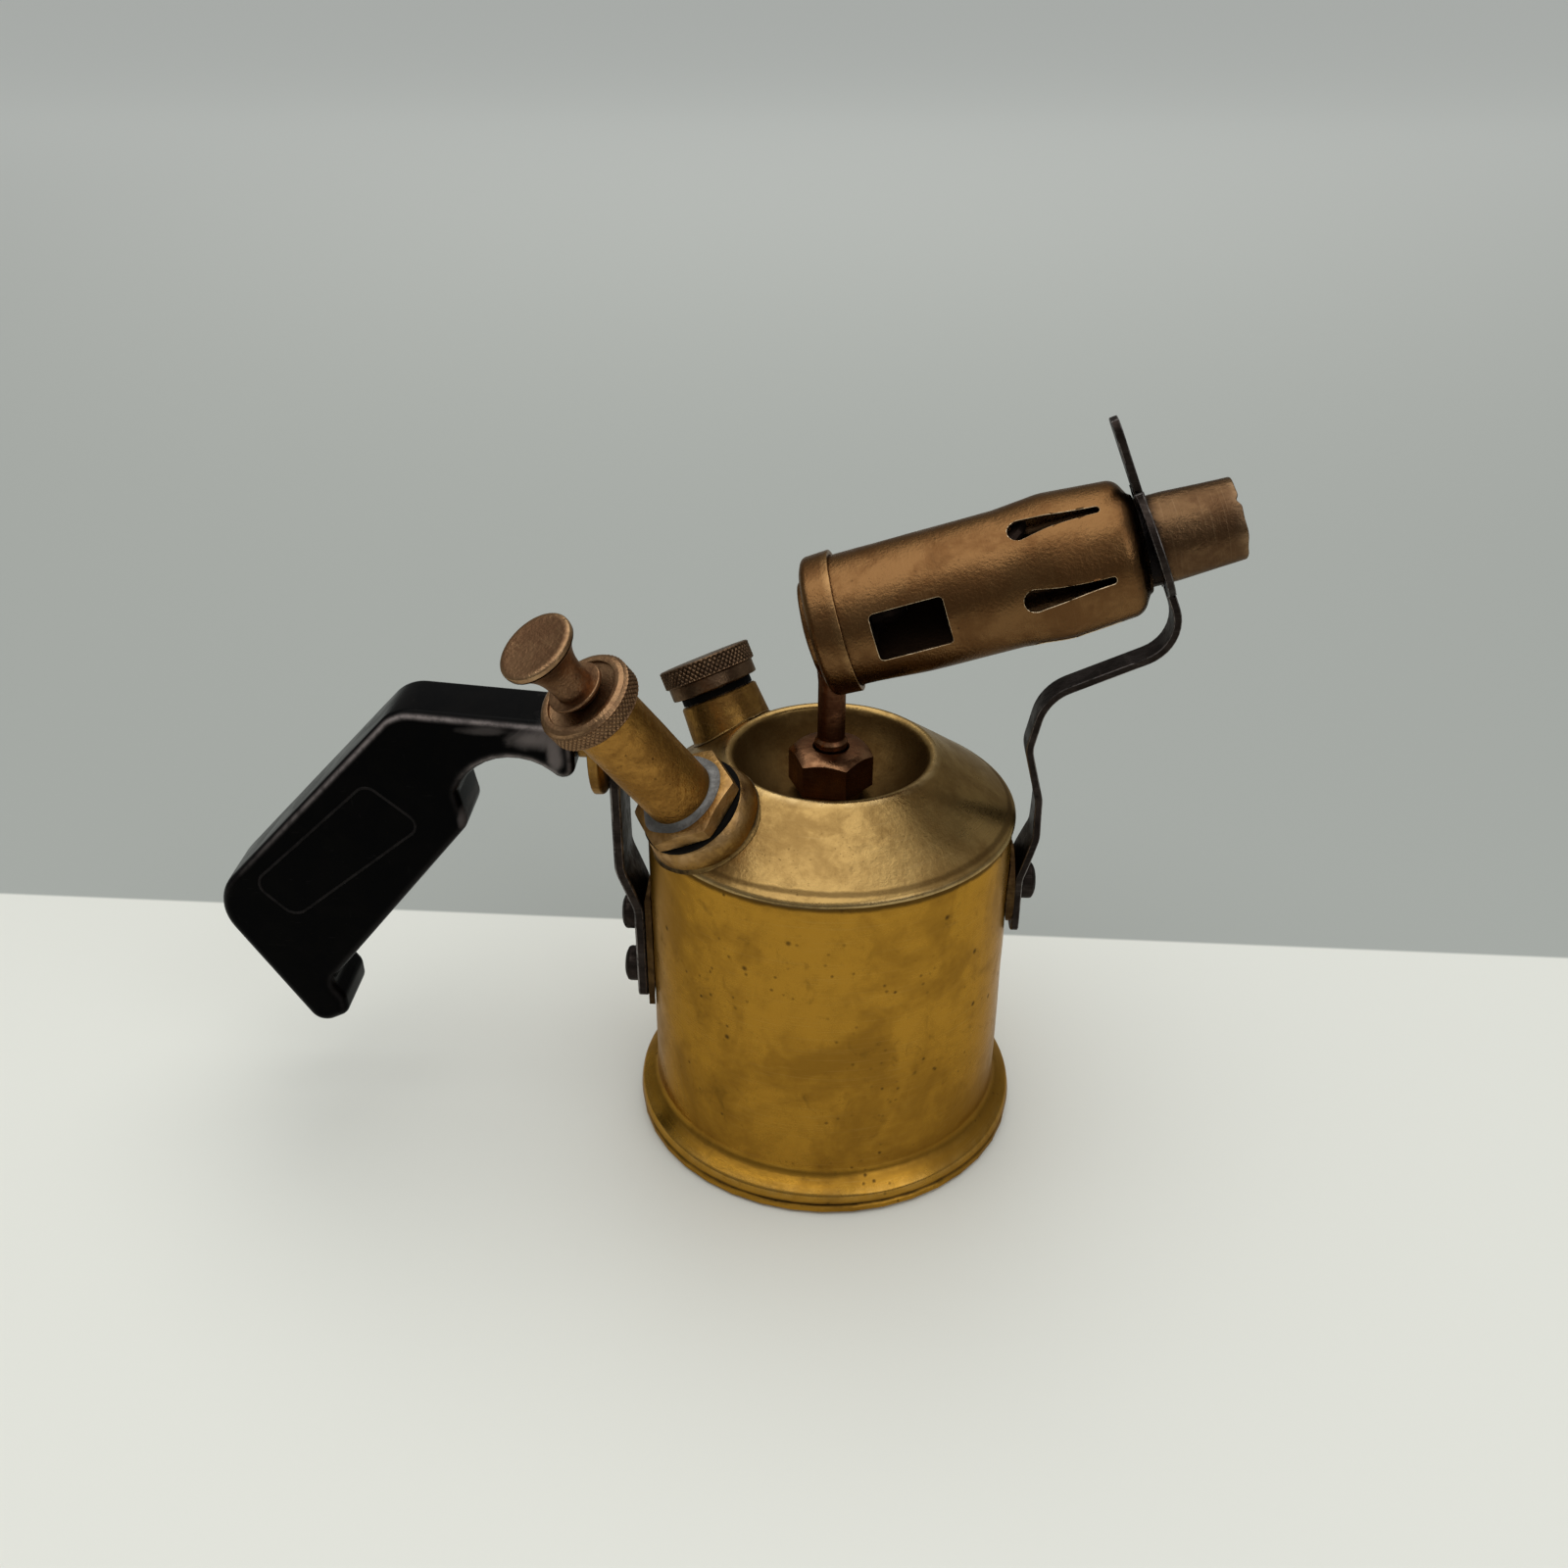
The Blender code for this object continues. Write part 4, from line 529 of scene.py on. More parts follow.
@dataclass(frozen=True)
class MetalFinish:
    """Old metal: clean and aged tones in patches, pits, stains, turned marks, an uneven skin, and dark bands and
    darkening inside that paint shade along with seams, dirt and soot.
    """

    name: str
    clean: Colour
    aged: Colour
    dark: Colour
    rubbed_and_highlight: Colour
    spread: float = 0.095
    rough: float = 0.34
    rough_spread: float = 0.16
    patch: float = 0.022
    aged_share: float = 0.9
    stain: float = 0.5
    pit_size: float = 0.0024
    pit_share: float = 0.6
    skin_size: float = 0.0016
    skin_depth: float = 0.00006
    marks: float = 0.25
    axes: Axes = UPRIGHT
    # The darkenings below paint shade in hollows, under the lip and inside the burner, along with dark seams, dirt and
    # soot.
    bands: tuple[tuple[float, float, float], ...] = ()
    soot_and_shade: tuple[tuple[float, float, float], ...] = ()
    inside: tuple[float, float, float, float] = ()
    metallic: float = 1.0

    def make(self) -> bpy.types.Material:
        """Write the material and return it."""
        graph = Graph(self.name)
        broad = graph.noise(self.patch, 4.0, 0.6, 0.6)
        small = graph.noise(self.patch / 5, 5.0, 0.65, 0.3)
        tone = (broad * 0.7 + small * 0.3).ease(0.505 - self.spread, 0.505 + self.spread)
        colour = graph.blend(self.clean, self.aged, tone * self.aged_share)
        stain = graph.noise(self.patch / 2.6, 6.0, 0.7, 1.4).ease(0.56, 0.74) * self.stain
        colour = graph.blend(colour, self.dark, stain * 0.55)
        turned = graph.noise(0.012, 4.0, 0.6, 0.0, graph.stand(self.axes, (1.0, 1.0, 46.0)))
        colour = graph.blend(colour, self.rubbed_and_highlight, (turned - 0.5).ease(0.04, 0.24) * self.marks)
        near = graph.noise(self.pit_size * 6, 3.0, 0.6).ease(0.50, 0.66)
        pits = (1.0 - graph.cells(self.pit_size).ease(0.05, 0.24)) * near
        specks = (1.0 - graph.cells(self.pit_size * 3.7).ease(0.02, 0.10))
        pits = pits.larger(specks) * self.pit_share
        colour = graph.blend(colour, self.dark, pits)
        # Rubbed metal from the attribute: wear, and on the foot's bead and the shoulder's lip a painted highlight.
        wear_and_highlight_share = graph.attribute("wear_and_highlight") * (0.45 + 0.55 * graph.noise(0.003, 4.0).ease(0.40, 0.62))
        colour = graph.blend(colour, self.rubbed_and_highlight, wear_and_highlight_share)
        # Painted shade and dirt in the knurl grooves, from the attribute.
        colour = graph.blend(colour, self.dark, graph.attribute("shade_and_dirt") * 0.8)
        # Dark bands at heights: painted shade in hollows and under the lip, along with dark seams and dirt.
        shade_and_dirt = self.shade_and_dirt_bands(graph, self.bands, small)
        # Darker inside a radius between two heights: painted shade inside the burner and the flame tube, and a darker
        # bowl.
        if self.inside:
            reach, low, high, share = self.inside
            away = graph.height(self.axes) + (small - 0.5) * 0.003
            within = (1.0 - graph.radius(self.axes).ease(reach - 0.0002, reach)) * away.ease(low - 0.0004, low)
            within = within * (1.0 - away.ease(high - 0.002, high)) * share
            shade_and_dirt = within if shade_and_dirt is None else shade_and_dirt.larger(within)
        if shade_and_dirt:
            colour = graph.blend(colour, self.dark, shade_and_dirt)
        # Near black bands: painted shade at the burner's neck, with soot.
        black = self.shade_and_dirt_bands(graph, self.soot_and_shade, small)
        if black:
            colour = graph.blend(colour, (0.006, 0.005, 0.005), black)
        rough = self.rough + tone * self.rough_spread + stain * 0.2 + pits * 0.2 + (turned - 0.5) * 0.12 - wear_and_highlight_share * 0.1
        if shade_and_dirt:
            rough = rough + shade_and_dirt * 0.25
        peel = graph.noise(self.skin_size, 3.0, 0.5, 0.4)
        fine = graph.noise(self.skin_size / 4, 2.0, 0.5)
        level = peel + fine * 0.25 - pits * 0.7 - stain * 0.15 + (turned - 0.5) * self.marks * 0.35
        normal = graph.bump(level, self.skin_depth * 2)
        return graph.surface({"Base Color": colour, "Roughness": rough, "Metallic": self.metallic, "Normal": normal,
                              "Specular Tint": tuple(0.5 + 0.5 * tone for tone in (*self.rubbed_and_highlight, 1.0))})

    def shade_and_dirt_bands(self, graph: Graph, bands: tuple, broken: Wire) -> Optional[Wire]:
        """Return darkening in bands at heights along the axes, painted shade together with seams and dirt, or nothing
        where there are none.
        """
        shade_and_dirt = None
        for place, width, share in bands:
            away = (graph.height(self.axes) - place).size() + (broken - 0.5) * (width * 0.9)
            band = (1.0 - away.ease(width * 0.25, width)) * share
            shade_and_dirt = band if shade_and_dirt is None else shade_and_dirt.larger(band)
        return shade_and_dirt


@dataclass(frozen=True)
class SoftFinish:
    """Rubber, leather, solder or moulding: a dull or glossy surface with grain, rubbed edges and painted highlights."""

    name: str
    base: Colour
    other: Colour
    rubbed_and_highlight: Colour
    rough: float
    rough_spread: float = 0.15
    grain: float = 0.0008
    depth: float = 0.00004
    gloss: float = 0.5
    scuffs: float = 0.0
    metallic: float = 0.0
    glints: tuple[tuple[float, float, float, float, float], ...] = ()

    def make(self) -> bpy.types.Material:
        """Write the material and return it."""
        graph = Graph(self.name)
        tone = graph.noise(0.012, 5.0, 0.65, 0.8).ease(0.38, 0.66)
        colour = graph.blend(self.base, self.other, tone)
        ragged = graph.noise(0.0030, 5.0, 0.7).ease(0.36, 0.60)
        # Rubbed edges from the attribute: wear, and on the grip painted highlight lines.
        wear_and_highlight_share = graph.attribute("wear_and_highlight") * (0.5 + 0.5 * ragged)
        colour = graph.blend(colour, self.rubbed_and_highlight, wear_and_highlight_share)
        # Painted highlights: soft pale patches at given places on the side.
        for x, z, wide, tall, share in self.glints:
            patch = Axes((x, 0.0, z), (0.0, 1.0, 0.0), (1.0, 0.0, 0.0))
            far = graph.radius(patch, (1 / wide, 1 / tall, 1.0)) + (tone - 0.5) * 0.3
            colour = graph.blend(colour, self.rubbed_and_highlight, (1.0 - far.ease(0.15, 1.0)) * share)
        hair = graph.noise(0.004, 3.0, 0.6, 0.2, graph.stand(UPRIGHT, (1.0, 1.0, 9.0)))
        cross = graph.noise(0.004, 3.0, 0.6, 0.2, graph.stand(UPRIGHT, (9.0, 1.0, 1.0)))
        scuff = (hair.ease(0.68, 0.74)).larger(cross.ease(0.69, 0.75)) * self.scuffs
        colour = graph.blend(colour, self.rubbed_and_highlight, scuff * 0.5)
        rough = self.rough + tone * self.rough_spread + scuff * 0.3 + wear_and_highlight_share * 0.25
        grain = graph.noise(self.grain, 3.0, 0.55) - scuff * 0.4
        inputs = {"Base Color": colour, "Roughness": rough, "Metallic": self.metallic,
                  "Normal": graph.bump(grain, self.depth), "Specular IOR Level": self.gloss}
        return graph.surface(inputs)


# The tank's bands: a painted shadow under the shoulder's lip at the seam, a dark seam at the foot, and painted shade in
# the hollow of the foot's flare.
TANK_BRASS = MetalFinish(
    "tank_aged_brass", (0.40, 0.203, 0.024), (0.242, 0.118, 0.015), (0.045, 0.024, 0.008), (0.50, 0.31, 0.09),
    rough=0.25, rough_spread=0.10, patch=0.026, aged_share=0.85, stain=0.60, pit_size=0.0026, pit_share=0.8,
    skin_size=0.0034, skin_depth=0.00003, marks=0.18,
    bands=((0.0822, 0.0014, 0.8), (0.0030, 0.0012, 0.9), (0.0086, 0.0016, 0.22)), spread=0.11)
# The shoulder's bands darken a line just above its outer edge and one at the lip's lower edge; inside darkens the bowl.
SHOULDER_BRASS = MetalFinish(
    "shoulder_pitted_brass", (0.32, 0.205, 0.072), (0.20, 0.118, 0.038), (0.030, 0.0110, 0.0020), (0.50, 0.36, 0.17),
    rough=0.28, rough_spread=0.10, patch=0.016, stain=0.4, pit_size=0.0010, pit_share=0.4, skin_size=0.0010,
    skin_depth=0.00003, marks=0.10, bands=((0.0850, 0.0006, 0.55), (0.0826, 0.0004, 0.8)), inside=(0.0222, 0.080, 0.0975, 0.78))
FITTING_BRASS = MetalFinish(
    "fitting_aged_brass", (0.26, 0.138, 0.033), (0.155, 0.078, 0.020), (0.035, 0.017, 0.007), (0.44, 0.27, 0.12),
    rough=0.35, rough_spread=0.14, patch=0.009, pit_size=0.0012, pit_share=0.5, skin_size=0.0012)
# Brass darkened as painted shade, for the boss and pad that sit in shadow behind the straps.
SHADED_PAD_BRASS = MetalFinish(
    "pad_brass_painted_shade", (0.095, 0.054, 0.020), (0.050, 0.027, 0.011), (0.020, 0.011, 0.006), (0.22, 0.14, 0.06),
    rough=0.42, patch=0.008, pit_size=0.0014)
PUMP_BRASS = MetalFinish(
    "pump_pitted_brass", (0.33, 0.165, 0.036), (0.21, 0.100, 0.022), (0.050, 0.025, 0.009), (0.50, 0.31, 0.10),
    rough=0.29, rough_spread=0.12, patch=0.010, pit_size=0.0011, pit_share=0.7, skin_size=0.0012,
    skin_depth=0.00011, marks=0.1, axes=PUMP)
# On the cover and flame tube the near black bands paint the shade at the burner's neck behind the strap ring, with
# soot. The darkening inside paints the shade within the burner, seen through its windows, slots and mouth.
COVER_BRASS = MetalFinish(
    "cover_heat_brass", (0.155, 0.079, 0.030), (0.108, 0.050, 0.018), (0.010, 0.006, 0.004), (0.34, 0.20, 0.085),
    rough=0.25, rough_spread=0.08, patch=0.014, stain=0.3, pit_size=0.0010, pit_share=0.4, skin_size=0.0007,
    skin_depth=0.00005, marks=0.1, axes=BURNER, soot_and_shade=((0.0375, 0.0068, 1.0),),
    inside=(0.01430, -0.0340, 0.0318, 0.97))
NOZZLE_BRASS = MetalFinish(
    "nozzle_heat_brass", (0.112, 0.063, 0.030), (0.074, 0.038, 0.018), (0.015, 0.009, 0.007), (0.28, 0.18, 0.10),
    rough=0.26, rough_spread=0.12, patch=0.009, stain=0.4, pit_size=0.0010, pit_share=0.4, skin_size=0.0009,
    skin_depth=0.00007, marks=0.2, axes=BURNER, soot_and_shade=((0.0300, 0.0090, 1.0), (0.0362, 0.0036, 1.0)), inside=(0.0080, -0.01, 0.0545, 0.97))
SOOTED = MetalFinish(
    "vaporiser_sooted", (0.030, 0.018, 0.013), (0.016, 0.010, 0.008), (0.006, 0.005, 0.004), (0.10, 0.06, 0.04),
    rough=0.55, patch=0.006, metallic=0.8)
RED_BRASS = MetalFinish(
    "nut_red_brass", (0.130, 0.055, 0.026), (0.075, 0.028, 0.013), (0.015, 0.008, 0.005), (0.27, 0.15, 0.075),
    rough=0.27, rough_spread=0.14, patch=0.007, pit_size=0.0012, pit_share=0.4)
COPPER_BROWN = MetalFinish(
    "knurled_copper_brown", (0.245, 0.137, 0.070), (0.150, 0.078, 0.040), (0.022, 0.012, 0.007), (0.42, 0.27, 0.14),
    rough=0.31, rough_spread=0.12, patch=0.006, pit_size=0.0010, pit_share=0.5, skin_size=0.0008)
CAP_BROWN = MetalFinish(
    "filler_copper_brown", (0.135, 0.080, 0.045), (0.080, 0.046, 0.028), (0.012, 0.008, 0.006), (0.24, 0.16, 0.09),
    rough=0.33, rough_spread=0.12, patch=0.006, pit_size=0.0010, pit_share=0.5, skin_size=0.0008)
DARK_STEEL = MetalFinish(
    "strap_dark_steel", (0.025, 0.018, 0.015), (0.013, 0.009, 0.007), (0.005, 0.004, 0.004), (0.20, 0.17, 0.15),
    rough=0.30, rough_spread=0.20, patch=0.008, pit_size=0.0012, pit_share=0.6, skin_size=0.0012,
    skin_depth=0.00005, marks=0.12, metallic=0.85)
# Pale edge finishes for the bevels: rubbed metal painted brighter as thin highlight lines and glints on the burner and
# the straps.
RUBBED_STEEL_AND_GLINT = MetalFinish(
    "strap_rubbed_edges_and_glint", (0.20, 0.18, 0.17), (0.022, 0.018, 0.017), (0.010, 0.008, 0.007), (0.40, 0.37, 0.35),
    rough=0.30, patch=0.006, pit_size=0.0009, metallic=0.9)
RUBBED_BRASS_AND_HIGHLIGHT = MetalFinish(
    "rubbed_brass_edges_and_highlight", (0.74, 0.58, 0.38), (0.42, 0.28, 0.15), (0.08, 0.04, 0.02), (0.78, 0.64, 0.44),
    rough=0.30, patch=0.004, pit_size=0.0009, pit_share=0.3)
# The grip's glints are painted highlights on the arch, its front tip and the top arm; its pale edge colour paints both
# wear and highlight.
BAKELITE = SoftFinish(
    "grip_black_bakelite", (0.0008, 0.0008, 0.0009), (0.0016, 0.0014, 0.0013), (0.26, 0.225, 0.215), 0.16,
    rough_spread=0.10, grain=0.0030, depth=0.00002, gloss=0.02, scuffs=0.04,
    glints=((-0.0655, 0.1030, 0.0080, 0.0036, 0.55), (-0.0610, 0.0985, 0.0022, 0.0050, 0.60),
            (-0.0760, 0.1050, 0.0080, 0.0014, 0.20), (-0.0835, 0.0815, 0.0012, 0.0036, 0.25)))
BLACK_SEAL = SoftFinish(
    "washer_black", (0.0035, 0.0032, 0.0030), (0.0060, 0.0050, 0.0040), (0.03, 0.025, 0.02), 0.75, gloss=0.05)
LEATHER = SoftFinish("oiled_leather", (0.10, 0.050, 0.024), (0.055, 0.026, 0.013), (0.20, 0.12, 0.07), 0.55,
                     grain=0.0006, depth=0.0001)
SOLDER = SoftFinish("grey_solder", (0.165, 0.162, 0.155), (0.085, 0.082, 0.076), (0.30, 0.28, 0.26), 0.45,
                    grain=0.0014, depth=0.00026, metallic=0.5)
FOOT_RESIDUE = SoftFinish("foot_residue", (0.215, 0.130, 0.040), (0.030, 0.018, 0.008), (0.16, 0.13, 0.08), 0.45,
                          grain=0.0010, depth=0.00025, metallic=0.9)

Finish = Union[MetalFinish, SoftFinish]


@dataclass
class FinishRack:
    """Makes each finish once and hands out its material."""

    made: dict[str, bpy.types.Material] = field(default_factory=dict)

    def get(self, finish: Finish) -> bpy.types.Material:
        """Return the material of a finish."""
        if finish.name not in self.made:
            self.made[finish.name] = finish.make()
        return self.made[finish.name]


@dataclass
class SubAssembly:
    """A group of pieces that are built and dressed together."""

    rack: FinishRack

    def fit(self, piece: bpy.types.Object, finish: Finish, slot: Slot, nodes: tuple[str, ...] = (),
            body: Body = Body.LAMP, rubbed_and_highlight: Optional[Finish] = None) -> bpy.types.Object:
        """Dress a piece, put it on its body and let it stand for its CAD nodes.

        Args:
            piece: the built object.
            finish: its finish.
            slot: the record's slot that the finish belongs to; not used.
            nodes: the CAD nodes that it replaces.
            body: the body that it rides on.
            rubbed_and_highlight: the finish of its rounded edges, rubbed metal painted brighter as a highlight line,
                the same where left out.

        Returns:
            The piece.
        """
        piece.data.materials.clear()
        piece.data.materials.append(self.rack.get(finish))
        piece.data.materials.append(self.rack.get(rubbed_and_highlight or finish))
        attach(piece, body.value)
        if nodes:
            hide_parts(*nodes)
        LOG.info("fitted %s with %d faces", piece.name, len(piece.data.polygons))
        return piece

    def dress(self, finish: Finish, *nodes: str) -> None:
        """Give CAD nodes that stay a better material."""
        for node in nodes:
            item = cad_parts[node]
            if not item.material_slots:
                item.data.materials.append(None)
            for place in item.material_slots:
                place.material = self.rack.get(finish)
            LOG.info("dressed %s", node)


@dataclass
class Tank(SubAssembly):
    """The tank: shell with its foot, base plate, shoulder with the priming bowl."""

    radius: float = 0.042
    seam: float = 0.0826
    sheet: float = 0.0008
    foot: float = 0.0465
    flare_top: float = 0.0090
    bead_top: float = 0.0056
    bead_bottom: float = 0.0034
    foot_seam: float = 0.0028
    foot_inset: float = 0.0006
    lip: float = 0.0829
    edge: float = 0.0425
    rim_radius: float = 0.02385
    rim: float = 0.09735
    slope: float = 0.72118
    bowl_floor: float = 0.08655
    skirt: float = 0.0409
    turns: int = 256

    def cone(self, radius: np.ndarray) -> np.ndarray:
        """Return the shoulder's height: the rim less the slope times the way out, and level inside the rim."""
        return self.rim - np.maximum(radius - self.rim_radius, 0.0) * self.slope

    def foot_of(self, axes: Axes, radius: np.ndarray, angles: np.ndarray) -> np.ndarray:
        """Find how far along leaning axes each point round them meets the shoulder, by halving an interval.

        Args:
            axes: the fitting's axes.
            radius: distance from the axis at each angle.
            angles: angles round the axis.

        Returns:
            The distance along the axis at each angle.
        """
        low = np.full(angles.shape, -0.012)
        high = np.full(angles.shape, 0.008)
        for _ in range(30):
            middle = (low + high) / 2
            points = axes.place(np.stack([radius * np.cos(angles), radius * np.sin(angles), middle], -1))
            under = points[..., 2] < self.cone(np.hypot(points[..., 0], points[..., 1]))
            low = np.where(under, middle, low)
            high = np.where(under, high, middle)
        return (low + high) / 2

    def shell(self) -> bpy.types.Object:
        """Make the shell: a turned sheet whose foot flares, with shallow dents."""
        line = arc_line([
            (self.radius, self.seam, 0.0),
            (self.radius, self.flare_top, 0.0032),
            (self.foot - 0.0004, self.bead_top, 0.0016),
            (self.foot, self.bead_bottom, 0.0006),
            (self.foot - self.foot_inset, self.foot_seam, 0.0),
        ], 10)
        grid = revolve(refine(wall(line, self.sheet), 0.0016), self.turns)
        angles = np.arctan2(grid[..., 1], grid[..., 0])
        dents = ((-1.25, 0.046, 0.35, 0.014, 0.00016), (-2.2, 0.030, 0.30, 0.010, 0.00020),
                 (-0.55, 0.060, 0.22, 0.012, 0.00016), (1.3, 0.040, 0.4, 0.014, 0.00020))
        push = sum(depth * np.exp(-(np.remainder(angles - turn + math.pi, TAU) - math.pi) ** 2 / wide ** 2
                                  - (grid[..., 2] - place) ** 2 / tall ** 2) for turn, place, wide, tall, depth in dents)
        push = push + 0.00006 * waves(angles * 2 + grid[..., 2] * 90.0, 3)
        scale = 1 - push / self.radius
        grid = grid * np.stack([scale, scale, np.ones_like(scale)], -1)
        # The bead at the foot is rubbed and painted brighter as a highlight band.
        wear_and_highlight = 0.40 * np.exp(-((grid[..., 2] - 0.0054) / 0.0008) ** 2)
        return skin("tank_shell", grid, loop_rows=True, wear_and_highlight=wear_and_highlight)

    def shoulder(self) -> bpy.types.Object:
        """Make the shoulder and bowl: a turned sheet, dented and creased at the right of the bowl."""
        rim = self.rim_radius - 0.0006
        line = arc_line([
            (0.0053, self.bowl_floor, 0.0),
            (0.0112, self.bowl_floor, 0.0060),
            (0.0186, 0.0894, 0.0150),
            (rim - 0.0004, float(self.rim - (rim - self.rim_radius) * self.slope), 0.0014),
            (self.edge, float(self.cone(np.array(self.edge))), 0.0016),
            (self.edge, self.lip, 0.0),
            (self.skirt, self.lip, 0.0),
            (self.skirt, 0.0796, 0.0),
        ], 8)
        grid = revolve(refine(wall(line, self.sheet), 0.0010), self.turns)
        radius = np.hypot(grid[..., 0], grid[..., 1])
        angles = np.arctan2(grid[..., 1], grid[..., 0])
        away = np.remainder(angles + 0.12 + math.pi, TAU) - math.pi
        dent = 0.00045 * np.exp(-(away / 0.30) ** 2 - ((radius - 0.0300) / 0.0042) ** 2)
        away = np.remainder(angles + 0.62 + math.pi, TAU) - math.pi
        dent = dent + 0.00035 * np.exp(-(away / 0.22) ** 2 - ((radius - 0.0330) / 0.0040) ** 2)
        ridge = 0.00030 * np.exp(-(away / 0.10) ** 2 - ((radius - 0.0280) / 0.0050) ** 2)
        outer = np.clip((radius - 0.0235) / 0.002, 0.0, 1.0)
        rise = (ridge - dent) * outer
        droop = 0.00045 * np.exp(-((np.remainder(angles + 1.75 + math.pi, TAU) - math.pi) / 0.30) ** 2)
        rise = rise - droop * np.clip((radius - 0.0385) / 0.003, 0.0, 1.0) * (grid[..., 2] > 0.0825)
        rise = rise + 0.00003 * waves(angles * 3 + radius * 300.0, 8) * outer
        grid = grid + np.stack([np.zeros_like(rise), np.zeros_like(rise), rise], -1)
        # The bowl's rim is rubbed; the lip at the outer edge is rubbed and painted brighter as a highlight line.
        wear_and_highlight = 0.7 * np.exp(-((radius - self.rim_radius) / 0.0007) ** 2) + 0.6 * np.clip((radius - self.edge + 0.0004) / 0.0003, 0.0, 1.0)
        piece = skin("shoulder_and_bowl", grid, loop_rows=True, wear_and_highlight=wear_and_highlight)
        return combine(piece, [rod("pump_hole", 0.0080, -0.0090, 0.0060, PUMP), rod("filler_hole", 0.0076, -0.009, 0.006, FILLER)])

    def build(self) -> None:
        """Build and dress the tank."""
        self.fit(self.shell(), TANK_BRASS, Slot.AGED_BRASS, ("tank_body",))
        self.fit(self.shoulder(), SHOULDER_BRASS, Slot.SHOULDER_BRASS, ("tank_top",))
        self.dress(TANK_BRASS, "tank_base")
        self.dress(FITTING_BRASS, "pickup_tube", "riser_socket")
        # The boss and pad behind the straps get brass darkened as painted shade.
        self.dress(SHADED_PAD_BRASS, "support_boss", "handle_pad")


@dataclass
class Riser(SubAssembly):
    """The union nut in the bowl and the pipe that carries the burner."""

    flats: float = 0.0170
    corner: float = math.radians(51.0)
    low: float = 0.08855
    high: float = 0.09815
    pipe: float = 0.0031
    collar: float = 0.0037

    def nut(self) -> bpy.types.Object:
        """Make the nut with a turned top whose chamfer curves down at the corners."""
        half = self.flats / 2
        grid = hexagon(self.flats, self.corner, [
            (0.0053, 0.0, self.low, 0.0), (half - 0.0006, 0.8, self.low, 0.0), (half, 1.0, self.low + 0.0006, 0.0),
            (half, 1.0, self.high - 0.0010, 0.62), (half - 0.0005, 0.55, self.high - 0.0004, 0.34),
            (half - 0.0014, 0.0, self.high, 0.0), (0.0042, 0.0, self.high, 0.0), (0.0039, 0.0, self.high - 0.0004, 0.0),
            (0.0039, 0.0, self.high - 0.0026, 0.0), (0.0053, 0.0, self.high - 0.0026, 0.0)])
        wear_and_highlight = np.array([0.0, 0.0, 0.2, 0.5, 0.7, 0.3, 0.2, 0.0, 0.0, 0.0])[:, None]
        return skin("union_nut", grid, loop_rows=True, wear_and_highlight=wear_and_highlight)

    def tube(self) -> bpy.types.Object:
        """Make the pipe: a turned line with a collar at the nut and a braze swell under the burner."""
        line = arc_line([
            (0.0018, 0.1225, 0.0), (0.0034, 0.1225, 0.0), (0.0034, 0.1170, 0.002), (self.pipe, 0.1140, 0.002),
            (self.pipe, self.high + 0.0024, 0.0006), (self.collar, self.high + 0.0015, 0.0006),
            (self.collar, self.high + 0.0003, 0.0004), (self.pipe, self.high - 0.0004, 0.0),
            (self.pipe, 0.0952, 0.0), (0.0045, 0.0952, 0.0), (0.0045, 0.09535 - 0.0008, 0.0), (0.0018, 0.09535 - 0.0008, 0.0)])
        grid = revolve(refine(line, 0.0012), 64)
        wear_and_highlight = 0.8 * np.exp(-((grid[..., 2] - self.high - 0.0008) / 0.0010) ** 2)
        return skin("burner_pipe", grid, loop_rows=True, wear_and_highlight=wear_and_highlight)

    def build(self) -> None:
        """Build and dress the riser."""
        self.fit(self.nut(), RED_BRASS, Slot.RED_BRASS, ("burner_nut",))
        self.fit(self.tube(), RED_BRASS, Slot.RED_BRASS, ("riser_pipe",))


